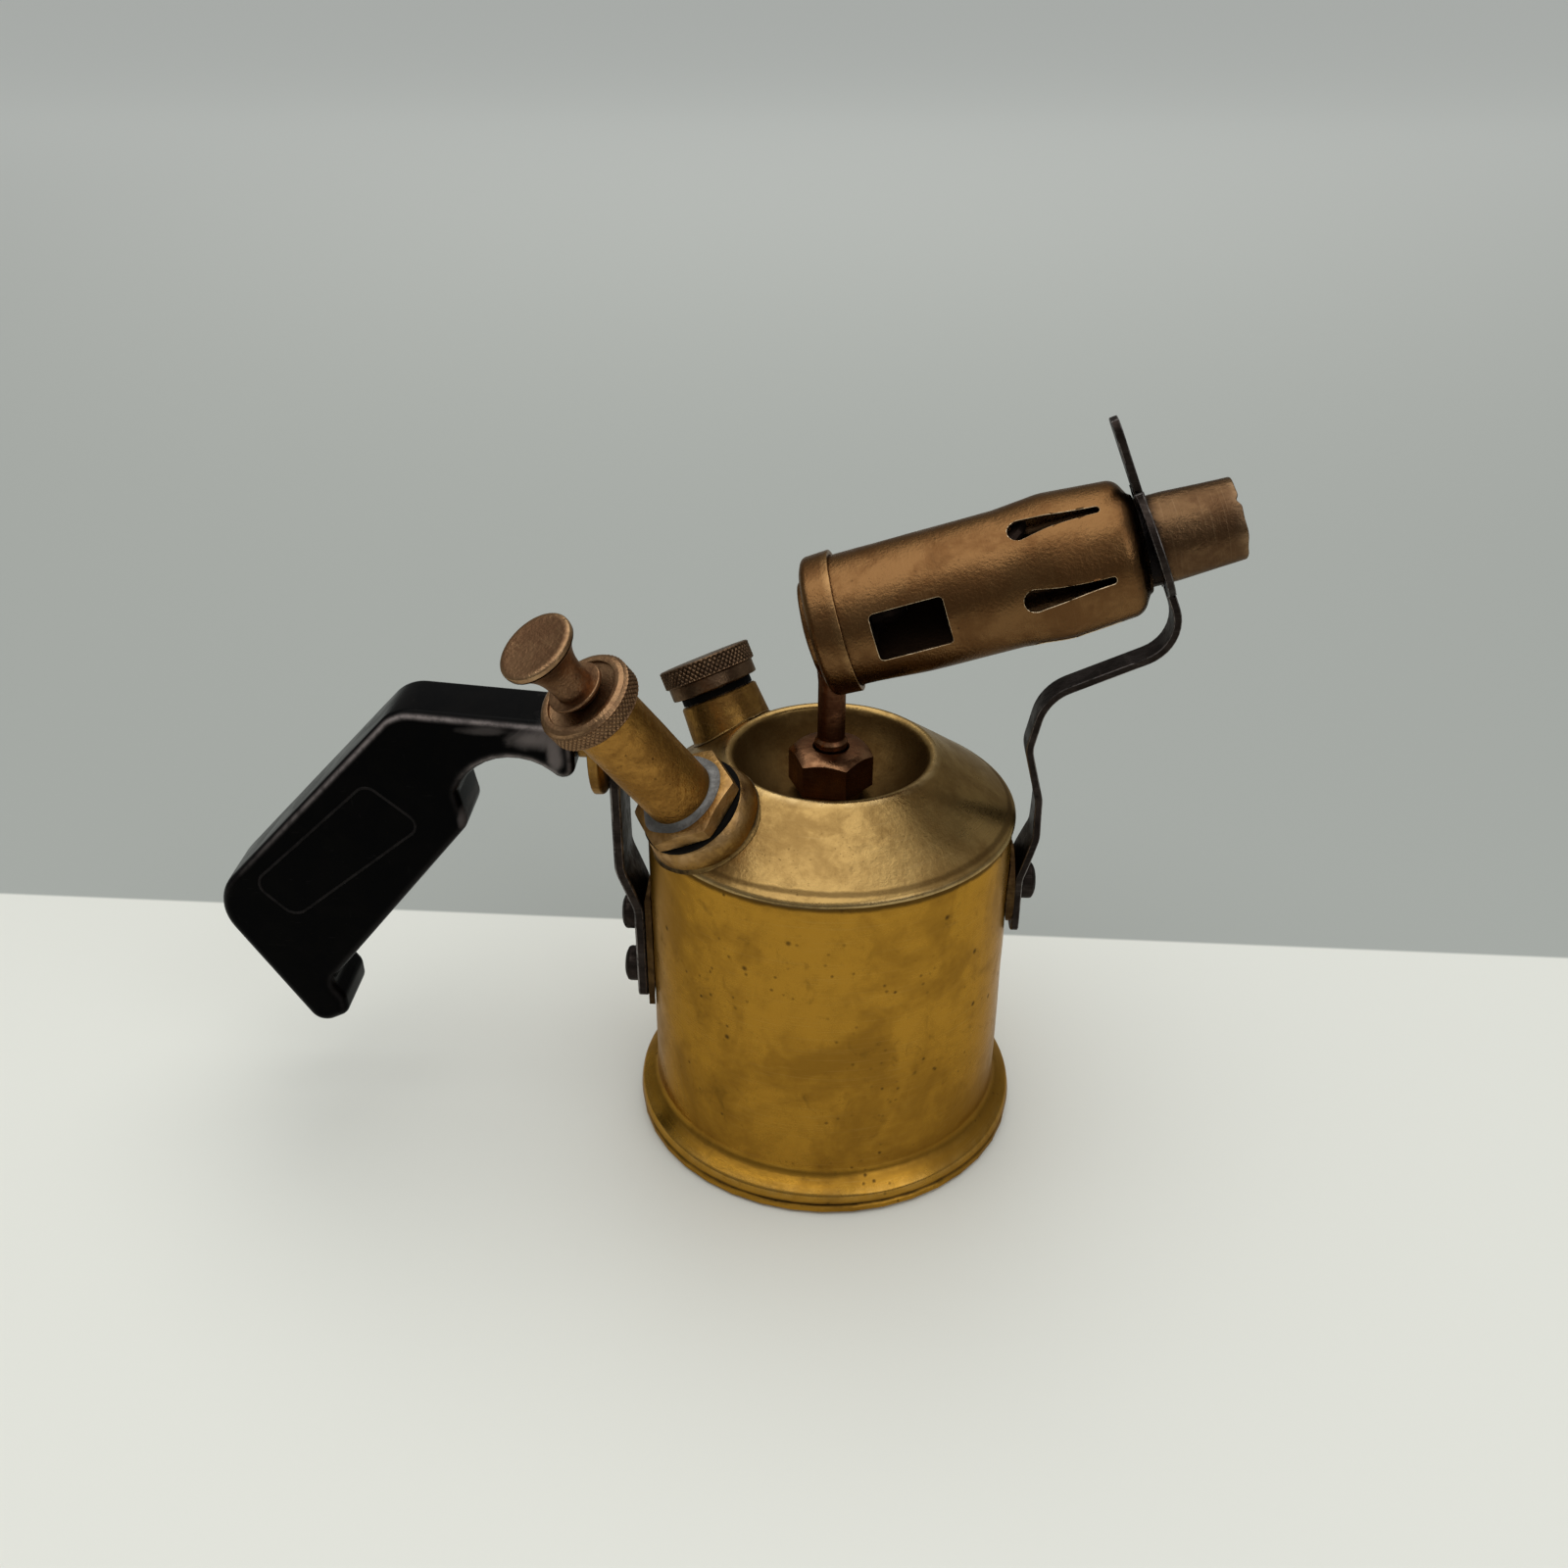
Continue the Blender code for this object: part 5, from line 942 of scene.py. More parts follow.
@dataclass
class Burner(SubAssembly):
    """The slanting burner: slotted cover, end cap, flame tube and the vaporiser inside."""

    sheet: float = 0.0007
    neck: float = 0.0104
    belly: float = 0.0156
    rear: float = 0.0147
    front: float = 0.0353
    cap_radius: float = 0.0160
    cap_front: float = -0.0283
    cap_rear: float = -0.0351
    window: tuple[float, float] = (-0.0223, -0.0067)
    window_width: float = 0.0106
    slot: tuple[float, float] = (0.0090, 0.0279)
    slot_fat: float = 0.0025
    slot_tip: float = 0.0008
    slots: int = 6
    tube: float = 0.0094
    mouth: float = 0.0086
    tube_front: float = 0.0555

    def out(self, angle: float, radius: float, forward: float) -> Axes:
        """Return axes on the burner's side whose z points out and whose x runs forward."""
        outward = (math.sin(angle), math.cos(angle), 0.0)
        return BURNER.at((radius * outward[0], radius * outward[1], forward), outward, (0.0, 0.0, 1.0))

    def teardrop(self) -> np.ndarray:
        """Work out a slot: a large and a small half circle joined by hollow sides.

        A side's distance from the middle is tip + (fat - tip) * (1 - s)^1.6, with s running from 0 to 1 along it.

        Returns:
            The outline, narrow forward, with its origin in the fat arc's centre.
        """
        span = self.slot[1] - self.slot[0] - self.slot_fat - self.slot_tip
        fat = np.linspace(math.pi / 2, 3 * math.pi / 2, 19)
        tip = np.linspace(-math.pi / 2, math.pi / 2, 9)
        share = np.linspace(0.0, 1.0, 12)[1:-1]
        side = np.stack([share * span, self.slot_tip + (self.slot_fat - self.slot_tip) * (1 - share) ** 1.6], -1)
        return np.concatenate([np.stack([self.slot_fat * np.cos(fat), self.slot_fat * np.sin(fat)], -1),
                               side * (1.0, -1.0),
                               np.stack([span + self.slot_tip * np.cos(tip), self.slot_tip * np.sin(tip)], -1),
                               side[::-1]])

    def squash(self, angles: np.ndarray, forward: np.ndarray) -> np.ndarray:
        """Return how far the rear underside is pressed in: a bell round the lower side, fading forward."""
        below = np.remainder(angles, TAU) - math.pi
        fade = np.clip((-0.012 - forward) / 0.014, 0.0, 1.0)
        return 0.075 * np.exp(-(below / 0.75) ** 2) * fade * fade * (3 - 2 * fade)

    def cover(self) -> bpy.types.Object:
        """Make the cover: a turned sheet with two windows and six slots cut through it."""
        line = arc_line([
            (self.neck, self.front, 0.0), (self.neck + 0.0005, 0.0345, 0.0012), (0.0144, 0.0325, 0.0036),
            (self.belly, 0.0170, 0.0160), (0.01475, 0.0070, 0.0160), (self.rear, self.cap_front, 0.0),
            (self.rear, -0.0310, 0.0)], 8)
        grid = revolve(refine(wall(line, self.sheet), 0.0016), 192)
        angles = np.arctan2(grid[..., 1], grid[..., 0])
        swell = 1 + 0.004 * waves(angles * 2 + grid[..., 2] * 70.0, 21)
        swell = swell - self.squash(angles, grid[..., 2])
        grid = grid * np.stack([swell, swell, np.ones_like(swell)], -1)
        piece = skin("cover_sheet", grid, BURNER, loop_rows=True)
        half = (self.window[1] - self.window[0]) / 2
        wide = self.window_width / 2
        frame_line = arc_line([(-half, -wide, 0.0010), (half, -wide, 0.0010), (half, wide, 0.0010),
                               (-half, wide, 0.0010)], 5, closed=True)
        tools = []
        for angle in (math.radians(2.2), math.radians(177.8)):
            tools.append(slab("window_tool", frame_line, 0.004, self.out(angle, self.rear, sum(self.window) / 2)))
        drop = self.teardrop()
        for number in range(self.slots):
            place = self.out(TAU * number / self.slots, self.belly, self.slot[0] + self.slot_fat)
            tools.append(slab("slot_tool", drop, 0.004, place))
        combine(piece, tools)
        ease_edges(piece, 0.00012, clamp=False)
        return piece

    def end_cap(self) -> bpy.types.Object:
        """Make the end cap: a cup with a plain front edge and a raised round boss on its back."""
        radius = self.cap_radius
        line = np.concatenate([
            [(0.0, self.cap_rear + 0.0010), (radius - 0.0011, self.cap_rear + 0.0010)],
            arc_line([(radius - 0.0011, self.cap_front, 0.0), (radius, self.cap_front, 0.0002),
                      (radius - 0.0003, self.cap_rear + 0.0009, 0.0016), (radius - 0.0022, self.cap_rear, 0.0008),
                      (0.0112, self.cap_rear + 0.0003, 0.0002), (0.0108, self.cap_rear - 0.0013, 0.0006),
                      (0.0060, self.cap_rear - 0.0021, 0.0060), (0.0, self.cap_rear - 0.0024, 0.0)], 6)])
        grid = revolve(refine(line, 0.0014), 128)
        angles = np.arctan2(grid[..., 1], grid[..., 0])
        far = np.hypot(grid[..., 0], grid[..., 1])
        swell = 1 + 0.003 * waves(angles, 5) - self.squash(angles, grid[..., 2])
        grid = grid * np.stack([swell, swell, np.ones_like(swell)], -1)
        wear_and_highlight = 0.9 * np.exp(-((grid[..., 2] - self.cap_front) / 0.0003) ** 2) * (far > radius * 0.95)
        piece = skin("end_cap_cup", grid, BURNER, wear_and_highlight=wear_and_highlight)
        return combine(piece, [rod("riser_way", 0.0035, 0.0990, 0.1228, UPRIGHT)])

    def flame_tube(self) -> bpy.types.Object:
        """Make the flame tube: a turned sheet that tapers to a mouth with an uneven burnt lip."""
        line = arc_line([
            (self.mouth - 0.0009, self.tube_front - 0.0006, 0.0), (self.mouth - 0.0006, self.tube_front, 0.0003),
            (self.mouth, self.tube_front, 0.0003), (self.mouth + 0.0003, self.tube_front - 0.0060, 0.02),
            (self.tube, 0.0410, 0.03), (self.tube, -0.0040, 0.0), (self.tube - 0.0009, -0.0040, 0.0),
            (self.tube - 0.0009, 0.0405, 0.03)], 5)
        grid = revolve(refine(line, 0.0012), 160)
        angles = np.arctan2(grid[..., 1], grid[..., 0])
        near = np.clip((grid[..., 2] - self.tube_front + 0.0040) / 0.0040, 0.0, 1.0) ** 2
        nick = np.exp(-((np.remainder(angles - 0.75 + math.pi, TAU) - math.pi) / 0.10) ** 2)
        back = near * (0.0004 * waves(angles, 12, 9) - 0.0007 * nick - 0.0003)
        swell = 1 + near * 0.016 * waves(angles, 31, 7)
        grid = grid * np.stack([swell, swell, np.ones_like(swell)], -1)
        grid = grid + np.stack([np.zeros_like(back), np.zeros_like(back), back], -1)
        return skin("flame_tube_sheet", grid, BURNER, loop_rows=True, wear_and_highlight=0.5 * near)

    def build(self) -> None:
        """Build and dress the burner."""
        self.fit(self.cover(), COVER_BRASS, Slot.HEAT_BRASS, ("burner_cover",), rubbed_and_highlight=RUBBED_BRASS_AND_HIGHLIGHT)
        self.fit(self.end_cap(), COVER_BRASS, Slot.HEAT_BRASS, ("burner_end_cap",))
        self.fit(self.flame_tube(), NOZZLE_BRASS, Slot.HEAT_BRASS, ("flame_tube",))
        self.dress(SOOTED, "vaporiser_head", "vaporiser_loop", "jet_nipple")


@dataclass
class Straps(SubAssembly):
    """The two steel straps on the tank with their screws."""

    support_x: float = 0.04405
    support_thick: float = 0.0017
    leaf: float = 0.0130
    stem: float = 0.0062
    leaf_low: float = 0.0675
    leaf_high: float = 0.0865
    ring_outer: float = 0.0123
    handle_x: float = -0.0444
    handle_thick: float = 0.0024
    handle_width: float = 0.0150
    screw: float = 0.0022
    head: float = 0.0043
    head_height: float = 0.0034

    def band(self, name: str, path: np.ndarray, widths: np.ndarray, thickness: float) -> bpy.types.Object:
        """Bend a flat bar along a line in the XZ plane.

        At each point of the path the section is a rectangle: the point plus or minus half the thickness along the
        path's normal and half the width along Y.

        Args:
            name: the object's name.
            path: (x, z) points through the middle of the bar.
            widths: the bar's width at each point.
            thickness: the bar's thickness.

        Returns:
            The closed bar.
        """
        normals = (beside(path, 1.0) - path)
        signs = np.array([(1, 1), (1, -1), (-1, -1), (-1, 1)]) / 2
        flat = path[:, None] + normals[:, None] * signs[None, :, :1] * thickness
        across = widths[:, None] * signs[None, :, 1]
        return skin(name, np.stack([flat[..., 0], across, flat[..., 1]], -1), caps=True)

    def tapered(self, path: np.ndarray, widths: np.ndarray, start: float, end: float) -> np.ndarray:
        """Return widths whose ends are rounded: w * sqrt(1 - (1 - s)^2), with s the way in over the end's reach."""
        run = np.concatenate([[0.0], np.cumsum(np.linalg.norm(np.diff(path, axis=0), axis=1))])
        first = np.clip(run / start, 0.0, 1.0) if start else np.ones_like(run)
        last = np.clip((run[-1] - run) / end, 0.0, 1.0) if end else np.ones_like(run)
        share = np.sqrt(1 - (1 - first) ** 2 * 0.8) * np.sqrt(1 - (1 - last) ** 2 * 0.8)
        return widths * share

    def support(self) -> bpy.types.Object:
        """Make the support strap with its leaning ring round the flame tube."""
        x = self.support_x
        centre = np.array((RING.origin[0], RING.origin[2]))
        upward = np.array((RING.side[0], RING.side[2]))
        knee = np.array((x + 0.0026, 0.1122))
        slope = math.radians(24.7)
        across = np.array((-math.sin(slope), math.cos(slope)))
        elbow = centre - upward * ((centre - knee) @ across / (upward @ across))
        top = centre + upward * 0.0278
        path = refine(arc_line([(x, 0.0515, 0.0), (x, self.leaf_low, 0.0075), (x + 0.0033, 0.0775, 0.0075),
                                (x + 0.0033, self.leaf_high, 0.0075), (x, 0.0993, 0.0075), (*knee, 0.0110),
                                (*elbow, 0.0092), (*top, 0.0)], 10), 0.0011)
        share = np.clip((self.leaf_high - path[:, 1]) / (self.leaf_high - self.leaf_low), 0.0, 1.0)
        share = share * share * (3 - 2 * share)
        widths = self.tapered(path, self.stem + (self.leaf - self.stem) * share, 0.0030, 0.0028)
        piece = self.band("support_strap_bent", path, widths, self.support_thick)
        half = self.support_thick / 2 - 0.00005
        combine(piece, [rod("ring_tool", self.ring_outer, -half, half, RING, 96)], "UNION")
        combine(piece, [rod("bore_tool", 0.0097, 0.0300, 0.0450, BURNER, 96)])
        ease_edges(piece, 0.00022, clamp=False)
        return piece

    def handle(self) -> bpy.types.Object:
        """Make the handle strap with its step outward."""
        x = self.handle_x
        path = refine(arc_line([(x, 0.0306, 0.0), (x, 0.0570, 0.0100), (x - 0.0040, 0.0680, 0.0100),
                                (x - 0.0040, 0.1085, 0.0)], 10), 0.0011)
        widths = self.tapered(path, np.full(len(path), self.handle_width), 0.0022, 0.0060)
        piece = self.band("handle_strap_bent", path, widths, self.handle_thick)
        ease_edges(piece, 0.00045)
        return piece

    def screw_at(self, name: str, side: int, face: float, height: float, turn: float) -> bpy.types.Object:
        """Make a cheese-head screw with a cut slot.

        Args:
            name: the object's name.
            side: 1 on the burner's side, -1 on the grip's.
            face: where its head starts, from the tank's axis.
            height: its height.
            turn: how far its slot is turned.

        Returns:
            The screw.
        """
        spin = (0.0, math.sin(turn), math.cos(turn))
        axes = Axes((side * face, 0.0, height), (float(side), 0.0, 0.0), spin)
        crown = self.head_height
        line = arc_line([(0.0, crown, 0.0), (self.head - 0.0016, crown, 0.004), (self.head, crown - 0.0009, 0.0009),
                         (self.head, 0.0, 0.0002), (self.screw, 0.0, 0.0), (self.screw, -0.0066, 0.0), (0.0, -0.0066, 0.0)], 5)
        piece = skin(name, revolve(line, 56), axes)
        slit = slab("slot_tool", np.array([(-0.006, -0.00045), (0.006, -0.00045), (0.006, 0.00045), (-0.006, 0.00045)]),
                    0.0013, axes.at((0.0, 0.0, crown + 0.0001), (0.0, 0.0, 1.0), (1.0, 0.0, 0.0)))
        return combine(piece, [slit])

    def build(self) -> None:
        """Build and dress the straps and screws."""
        self.fit(self.support(), DARK_STEEL, Slot.DARK_STEEL, ("support_strap",), rubbed_and_highlight=RUBBED_STEEL_AND_GLINT)
        self.fit(self.handle(), DARK_STEEL, Slot.DARK_STEEL, ("handle_strap",), rubbed_and_highlight=RUBBED_STEEL_AND_GLINT)
        screws = (("support_screw", 1, 0.0452, 0.0633, 0.7), ("handle_screw_upper", -1, 0.0459, 0.0520, 1.2),
                  ("handle_screw_lower", -1, 0.0459, 0.0364, 0.3))
        for node, side, face, height, turn in screws:
            self.fit(self.screw_at(f"{node}_slotted", side, face, height, turn), DARK_STEEL, Slot.DARK_STEEL, (node,))


@dataclass
class Grip(SubAssembly):
    """The moulded pistol grip with its raised frame, cup collar and bolt."""

    front: float = -0.0570
    bolt: float = 0.1010
    reach: float = 0.0895
    drop: float = 0.0887
    depth: float = 0.0185
    corners: tuple[Point, ...] = (
        (0.000, 0.963, 0.022), (0.440, 1.000, 0.101), (1.000, 0.416, 0.132), (0.762, 0.004, 0.050),
        (0.677, 0.045, 0.034), (0.679, 0.105, 0.039), (0.711, 0.155, 0.034), (0.284, 0.668, 0.045),
        (0.302, 0.763, 0.034), (0.222, 0.967, 0.149), (0.000, 0.766, 0.034))
    edges: tuple[float, ...] = (0.0026, 0.0026, 0.0030, 0.0030, 0.0026, 0.0026, 0.0028, 0.0030, 0.0032, 0.0040, 0.0026)
    border: tuple[Point, ...] = (
        (-0.1045, 0.0910, 0.0030), (-0.1345, 0.0635, 0.0035), (-0.1258, 0.0542, 0.0035), (-0.0926, 0.0802, 0.0030))

    def outline(self, share: float) -> np.ndarray:
        """Work out the side outline moved inward.

        Each side moves along its own normal by its edge size times the share, the corners are where the moved sides
        meet, and an arc keeps its centre.

        Args:
            share: how far in, as a share of each side's edge size.

        Returns:
            (x, z, edge size) of each point.
        """
        places = np.array([(self.front - x * self.reach, self.bolt + (z - 0.906) * self.drop) for x, z, _ in self.corners])
        runs = np.roll(places, -1, axis=0) - places
        runs /= np.linalg.norm(runs, axis=1, keepdims=True)
        normals = np.stack([-runs[:, 1], runs[:, 0]], -1)
        sizes = np.array(self.edges)
        before = np.roll(normals, 1, axis=0)
        old = np.roll(sizes, 1)
        cross = before[:, 0] * normals[:, 1] - before[:, 1] * normals[:, 0]
        move = np.stack([(old * normals[:, 1] - sizes * before[:, 1]) / cross,
                         (sizes * before[:, 0] - old * normals[:, 0]) / cross], -1) * share
        mean = (old + sizes) / 2 * share
        radii = np.array([radius for _, _, radius in self.corners]) * self.reach
        radii = np.maximum(np.where(cross > 0, radii - mean, radii + mean), 0.0002)
        steps = 10
        line = arc_line([(*place, radius) for place, radius in zip((places + move).tolist(), radii.tolist())], steps, True)
        along = np.linspace(0.0, 1.0, steps + 1)
        size = (old[:, None] * (1 - along) + sizes[:, None] * along).ravel()
        return np.column_stack([line, size])

    def body(self) -> bpy.types.Object:
        """Make the grip: its outline carried across Y with rounded edges."""
        rows = []
        wear_and_highlight = []
        for angle in np.linspace(0.0, math.pi / 2, 13):
            line = self.outline(1 - math.cos(angle))
            rows.append(np.stack([line[:, 0], self.depth / 2 - line[:, 2] * (1 - math.sin(angle)), line[:, 1]], -1))
            wear_and_highlight.append(np.full(len(line), math.exp(-((angle - 0.90) / 0.20) ** 2)))
        near = np.stack(rows)
        grid = np.concatenate([near[::-1] * np.array((1.0, -1.0, 1.0)), near])
        edge_rub_and_highlight = np.array(wear_and_highlight)
        # Edge rows brightest along the top arm and round the arch: rubbed edges painted brighter as highlight lines.
        top = np.clip((grid[..., 2] - 0.102) / 0.004, 0.03, 0.8)
        arch = np.clip(1.4 - np.hypot(grid[..., 0] + 0.0690, (grid[..., 2] - 0.0965) * 1.4) / 0.0125, 0.0, 1.0)
        top = np.maximum(top, arch)
        return skin("grip_moulding", grid, caps=True, wear_and_highlight=np.concatenate([edge_rub_and_highlight[::-1], edge_rub_and_highlight]) * top)

    def cheek_frame(self, side: int) -> bpy.types.Object:
        """Make the plain raised border on a cheek: a half-round bead carried along a rounded outline."""
        path = refine(arc_line(list(self.border), 8, True), 0.0012)
        path = np.concatenate([path, path[:1]])
        normal = (beside(path, 1.0) - path)[:-1]
        angles = np.arange(8) * TAU / 8
        flat = path[:-1, None] + normal[:, None] * (0.00034 * np.cos(angles))[None, :, None]
        height = side * (self.depth / 2 + 0.00022 * np.sin(angles) + 0 * flat[..., 0])
        name = "cheek_border_near" if side < 0 else "cheek_border_far"
        return skin(name, np.stack([flat[..., 0], height, flat[..., 1]], -1), loop_rows=True, wear_and_highlight=np.array([[0.05]]))

    def collar(self) -> bpy.types.Object:
        """Make the brass cup between the strap and the grip."""
        axes = Axes((-0.0496, 0.0, self.bolt), (-1.0, 0.0, 0.0), (0.0, 1.0, 0.0))
        line = arc_line([(0.0028, 0.0071, 0.0), (0.0062, 0.0071, 0.0003), (0.0062, 0.0014, 0.0008), (0.0123, 0.0014, 0.0),
                         (0.0134, 0.0025, 0.0006), (0.0134, 0.0034, 0.0002), (0.0145, 0.0034, 0.0004),
                         (0.0145, 0.0012, 0.0010), (0.0130, 0.0003, 0.0006), (0.0028, 0.0003, 0.0)], 4)
        return skin("grip_cup", revolve(line, 96), axes, loop_rows=True)

    def build(self) -> None:
        """Build and dress the grip."""
        self.fit(self.body(), BAKELITE, Slot.BAKELITE, ("grip",))
        self.fit(self.cheek_frame(-1), BAKELITE, Slot.BAKELITE)
        self.fit(self.cheek_frame(1), BAKELITE, Slot.BAKELITE)
        self.fit(self.collar(), FITTING_BRASS, Slot.AGED_BRASS, ("grip_collar",))
        self.dress(DARK_STEEL, "grip_bolt")


@dataclass
class Pump(SubAssembly):
    """The leaning hand pump: boss, hexagon, barrel, knurled cap and knob."""

    tank: Tank = None
    barrel: float = 0.0077
    clear: float = 0.0080
    boss_top: float = 0.0047
    washer_top: float = 0.0056
    boss_radius: float = 0.0122
    boss_foot: float = 0.0131
    hex_low: float = 0.0057
    hex_high: float = 0.0096
    flats: float = 0.0216
    corner: float = math.radians(-13.0)
    cap_radius: float = 0.0104
    cap_low: float = 0.0414
    cap_high: float = 0.0468
    disc: float = 0.0081

    def boss(self) -> bpy.types.Object:
        """Make the boss, whose lower edge follows the shoulder all round."""
        angles = np.arange(128) * TAU / 128
        outer = self.tank.foot_of(PUMP, np.full(128, self.boss_foot), angles) - 0.0002
        inner = self.tank.foot_of(PUMP, np.full(128, self.clear), angles) - 0.0002
        radii = [self.clear, self.clear, self.boss_radius - 0.0005, self.boss_radius, self.boss_foot, self.boss_foot]
        heights = [inner, self.boss_top + 0 * angles, self.boss_top + 0 * angles, self.boss_top - 0.0005 + 0 * angles,
                   np.maximum(0.0008, outer + 0.0002), outer]
        radius = np.array(radii)[:, None] + 0 * angles
        grid = np.stack([radius * np.cos(angles), radius * np.sin(angles), np.array(heights)], -1)
        wear_and_highlight = np.array([0.0, 0.0, 0.5, 0.9, 0.0, 0.0])[:, None]
        return skin("pump_boss_turned", grid, PUMP, loop_rows=True, wear_and_highlight=wear_and_highlight)

    def fillet(self, name: str, axes: Axes, radius: float, reach: float, seed: int) -> bpy.types.Object:
        """Make the uneven bead of solder where a fitting meets the shoulder.

        From the fitting's wall down to the shoulder the bead is a hollow arc: the way out is reach * (1 - cos a) and
        the height is reach * (1 - sin a) above the shoulder, with the reach changing round the fitting.

        Args:
            name: the object's name.
            axes: the fitting's axes.
            radius: the fitting's radius at the shoulder.
            reach: how wide the bead is.
            seed: picks its unevenness.

        Returns:
            The closed bead.
        """
        angles = np.arange(160) * TAU / 160
        base = axes.place(np.stack([radius * np.cos(angles), radius * np.sin(angles), 0 * angles], -1))
        clear_of_bowl = np.clip((np.hypot(base[:, 0], base[:, 1]) - 0.0250) / 0.0030, 0.12, 1.0)
        size = reach * (0.75 + 0.45 * waves(angles, seed, 9)) * clear_of_bowl
        size = np.maximum(size, 0.0002)
        sweep = np.linspace(0.0, math.pi / 2, 7)[:, None]
        out = radius + size * (1 - np.cos(sweep))
        rise = size * (1 - np.sin(sweep))
        foot = self.tank.foot_of(axes, out, angles + 0 * sweep) + 0.00006
        rows_out = np.concatenate([out, radius - 0.0004 + 0 * angles[None]])
        rows_up = np.concatenate([foot + rise, foot[:1] - 0.0003])
        grid = np.stack([rows_out * np.cos(angles), rows_out * np.sin(angles), rows_up], -1)
        return skin(name, grid, axes, loop_rows=True)

    def washer(self) -> bpy.types.Object:
        """Make the thin black washer under the hexagon."""
        outer = self.boss_radius - 0.0003
        line = np.array([(self.clear, self.boss_top + 0.00005), (outer, self.boss_top + 0.00005),
                         (outer, self.washer_top), (self.clear, self.washer_top)])
        return skin("washer_ring", revolve(line, 96), PUMP, loop_rows=True)

    def nut(self) -> bpy.types.Object:
        """Make the hexagon with both faces chamfered."""
        half = self.flats / 2
        grid = hexagon(self.flats, self.corner, [
            (self.clear, 0.0, self.hex_low, 0.0), (half - 0.0008, 0.0, self.hex_low, 0.0),
            (half, 1.0, self.hex_low + 0.0002, -0.20), (half, 1.0, self.hex_high - 0.0003, 0.40),
            (half - 0.0008, 0.0, self.hex_high, 0.0), (self.clear, 0.0, self.hex_high, 0.0)])
        return skin("pump_hexagon", grid, PUMP, loop_rows=True, wear_and_highlight=np.array([0.0, 0.1, 0.5, 0.6, 0.2, 0.0])[:, None])

    def solder(self) -> bpy.types.Object:
        """Make the grey solder ring that climbs the barrel from the hexagon."""
        angles = np.arange(128) * TAU / 128
        reach = 0.0021 + 0.0005 * waves(angles, 4, 8)
        sweep = np.linspace(0.0, math.pi / 2, 6)[:, None]
        out = self.barrel - 0.0001 + reach * (1 - np.cos(sweep))
        rise = self.hex_high + 0.00005 + reach * 0.55 * (1 - np.sin(sweep))
        out = np.concatenate([out, self.barrel - 0.0003 + 0 * angles[None]])
        rise = np.concatenate([rise, self.hex_high - 0.0003 + 0 * angles[None]])
        return skin("barrel_solder", np.stack([out * np.cos(angles), out * np.sin(angles), rise], -1), PUMP, loop_rows=True)

    def tube(self) -> bpy.types.Object:
        """Make the barrel, a turned tube with faint dents."""
        line = refine(np.array([(self.barrel, 0.0456), (self.barrel, -0.0346)]), 0.0014)
        grid = revolve(wall(line, 0.0007), 128)
        angles = np.arctan2(grid[..., 1], grid[..., 0])
        swell = 1 + 0.004 * waves(angles + grid[..., 2] * 130.0, 17)
        outside = np.hypot(grid[..., 0], grid[..., 1]) > 0.0074
        swell = np.where(outside, swell, 1.0)
        return skin("barrel_tube", grid * np.stack([swell, swell, np.ones_like(swell)], -1), PUMP, loop_rows=True)

    def cap(self) -> bpy.types.Object:
        """Make the barrel's screw cap: a knurled band and a bare ring round the knob's well."""
        low = self.cap_low
        high = self.cap_high
        line = np.concatenate([
            [(0.0024, 0.0460), (0.0076, 0.0460)],
            arc_line([(0.0079, 0.0461, 0.0), (0.0079, high, 0.0002), (0.0090, high, 0.0003),
                      (self.cap_radius - 0.0006, high - 0.0005, 0.0003), (self.cap_radius - 0.0003, high - 0.0011, 0.0)], 3),
            refine(np.array([(self.cap_radius, high - 0.0013), (self.cap_radius, low + 0.0005)]), 0.00019),
            [(self.cap_radius - 0.0004, low + 0.0001), (self.cap_radius - 0.0009, low), (self.clear, low), (self.clear, 0.0459),
             (0.0067, 0.0459), (0.0067, 0.0431), (0.0024, 0.0431)]])
        grid, cut = diamonds(revolve(line, 420), low + 0.0004, high - 0.0012, 60, 0.00026)
        # The cut paints shade and dirt into the knurl's grooves; its crests stay rubbed.
        return skin("pump_cap_knurled", grid, PUMP, loop_rows=True, wear_and_highlight=0.25 * (1 - cut), shade_and_dirt=cut)

    def knob(self) -> bpy.types.Object:
        """Make the knob: a disc with a soft rim on a waisted stem over a small flange."""
        shares = (1 - np.cos(np.linspace(0.0, math.pi, 16))) / 2
        stem = np.stack([0.0040 + 0.0041 * (1 - shares) ** 3, 0.0607 + (0.0492 - 0.0607) * shares], -1)
        line = np.concatenate([
            arc_line([(0.0, 0.0620, 0.0), (0.0050, 0.0621, 0.02), (0.0072, 0.0623, 0.002), (self.disc, 0.0620, 0.0005),
                      (self.disc, 0.0609, 0.0004), (self.disc - 0.0008, 0.0605, 0.0)], 4),
            stem[1:],
            arc_line([(0.0040, 0.0491, 0.0), (0.0060, 0.0491, 0.0003), (0.0060, 0.0484, 0.0003), (0.0040, 0.0463, 0.0),
                      (0.0, 0.0463, 0.0)], 4)])
        grid = revolve(line, 112)
        far = np.hypot(grid[..., 0], grid[..., 1])
        wear_and_highlight = 0.7 * np.exp(-((far - self.disc) / 0.0006) ** 2)
        return skin("pump_knob_turned", grid, PUMP, wear_and_highlight=wear_and_highlight)

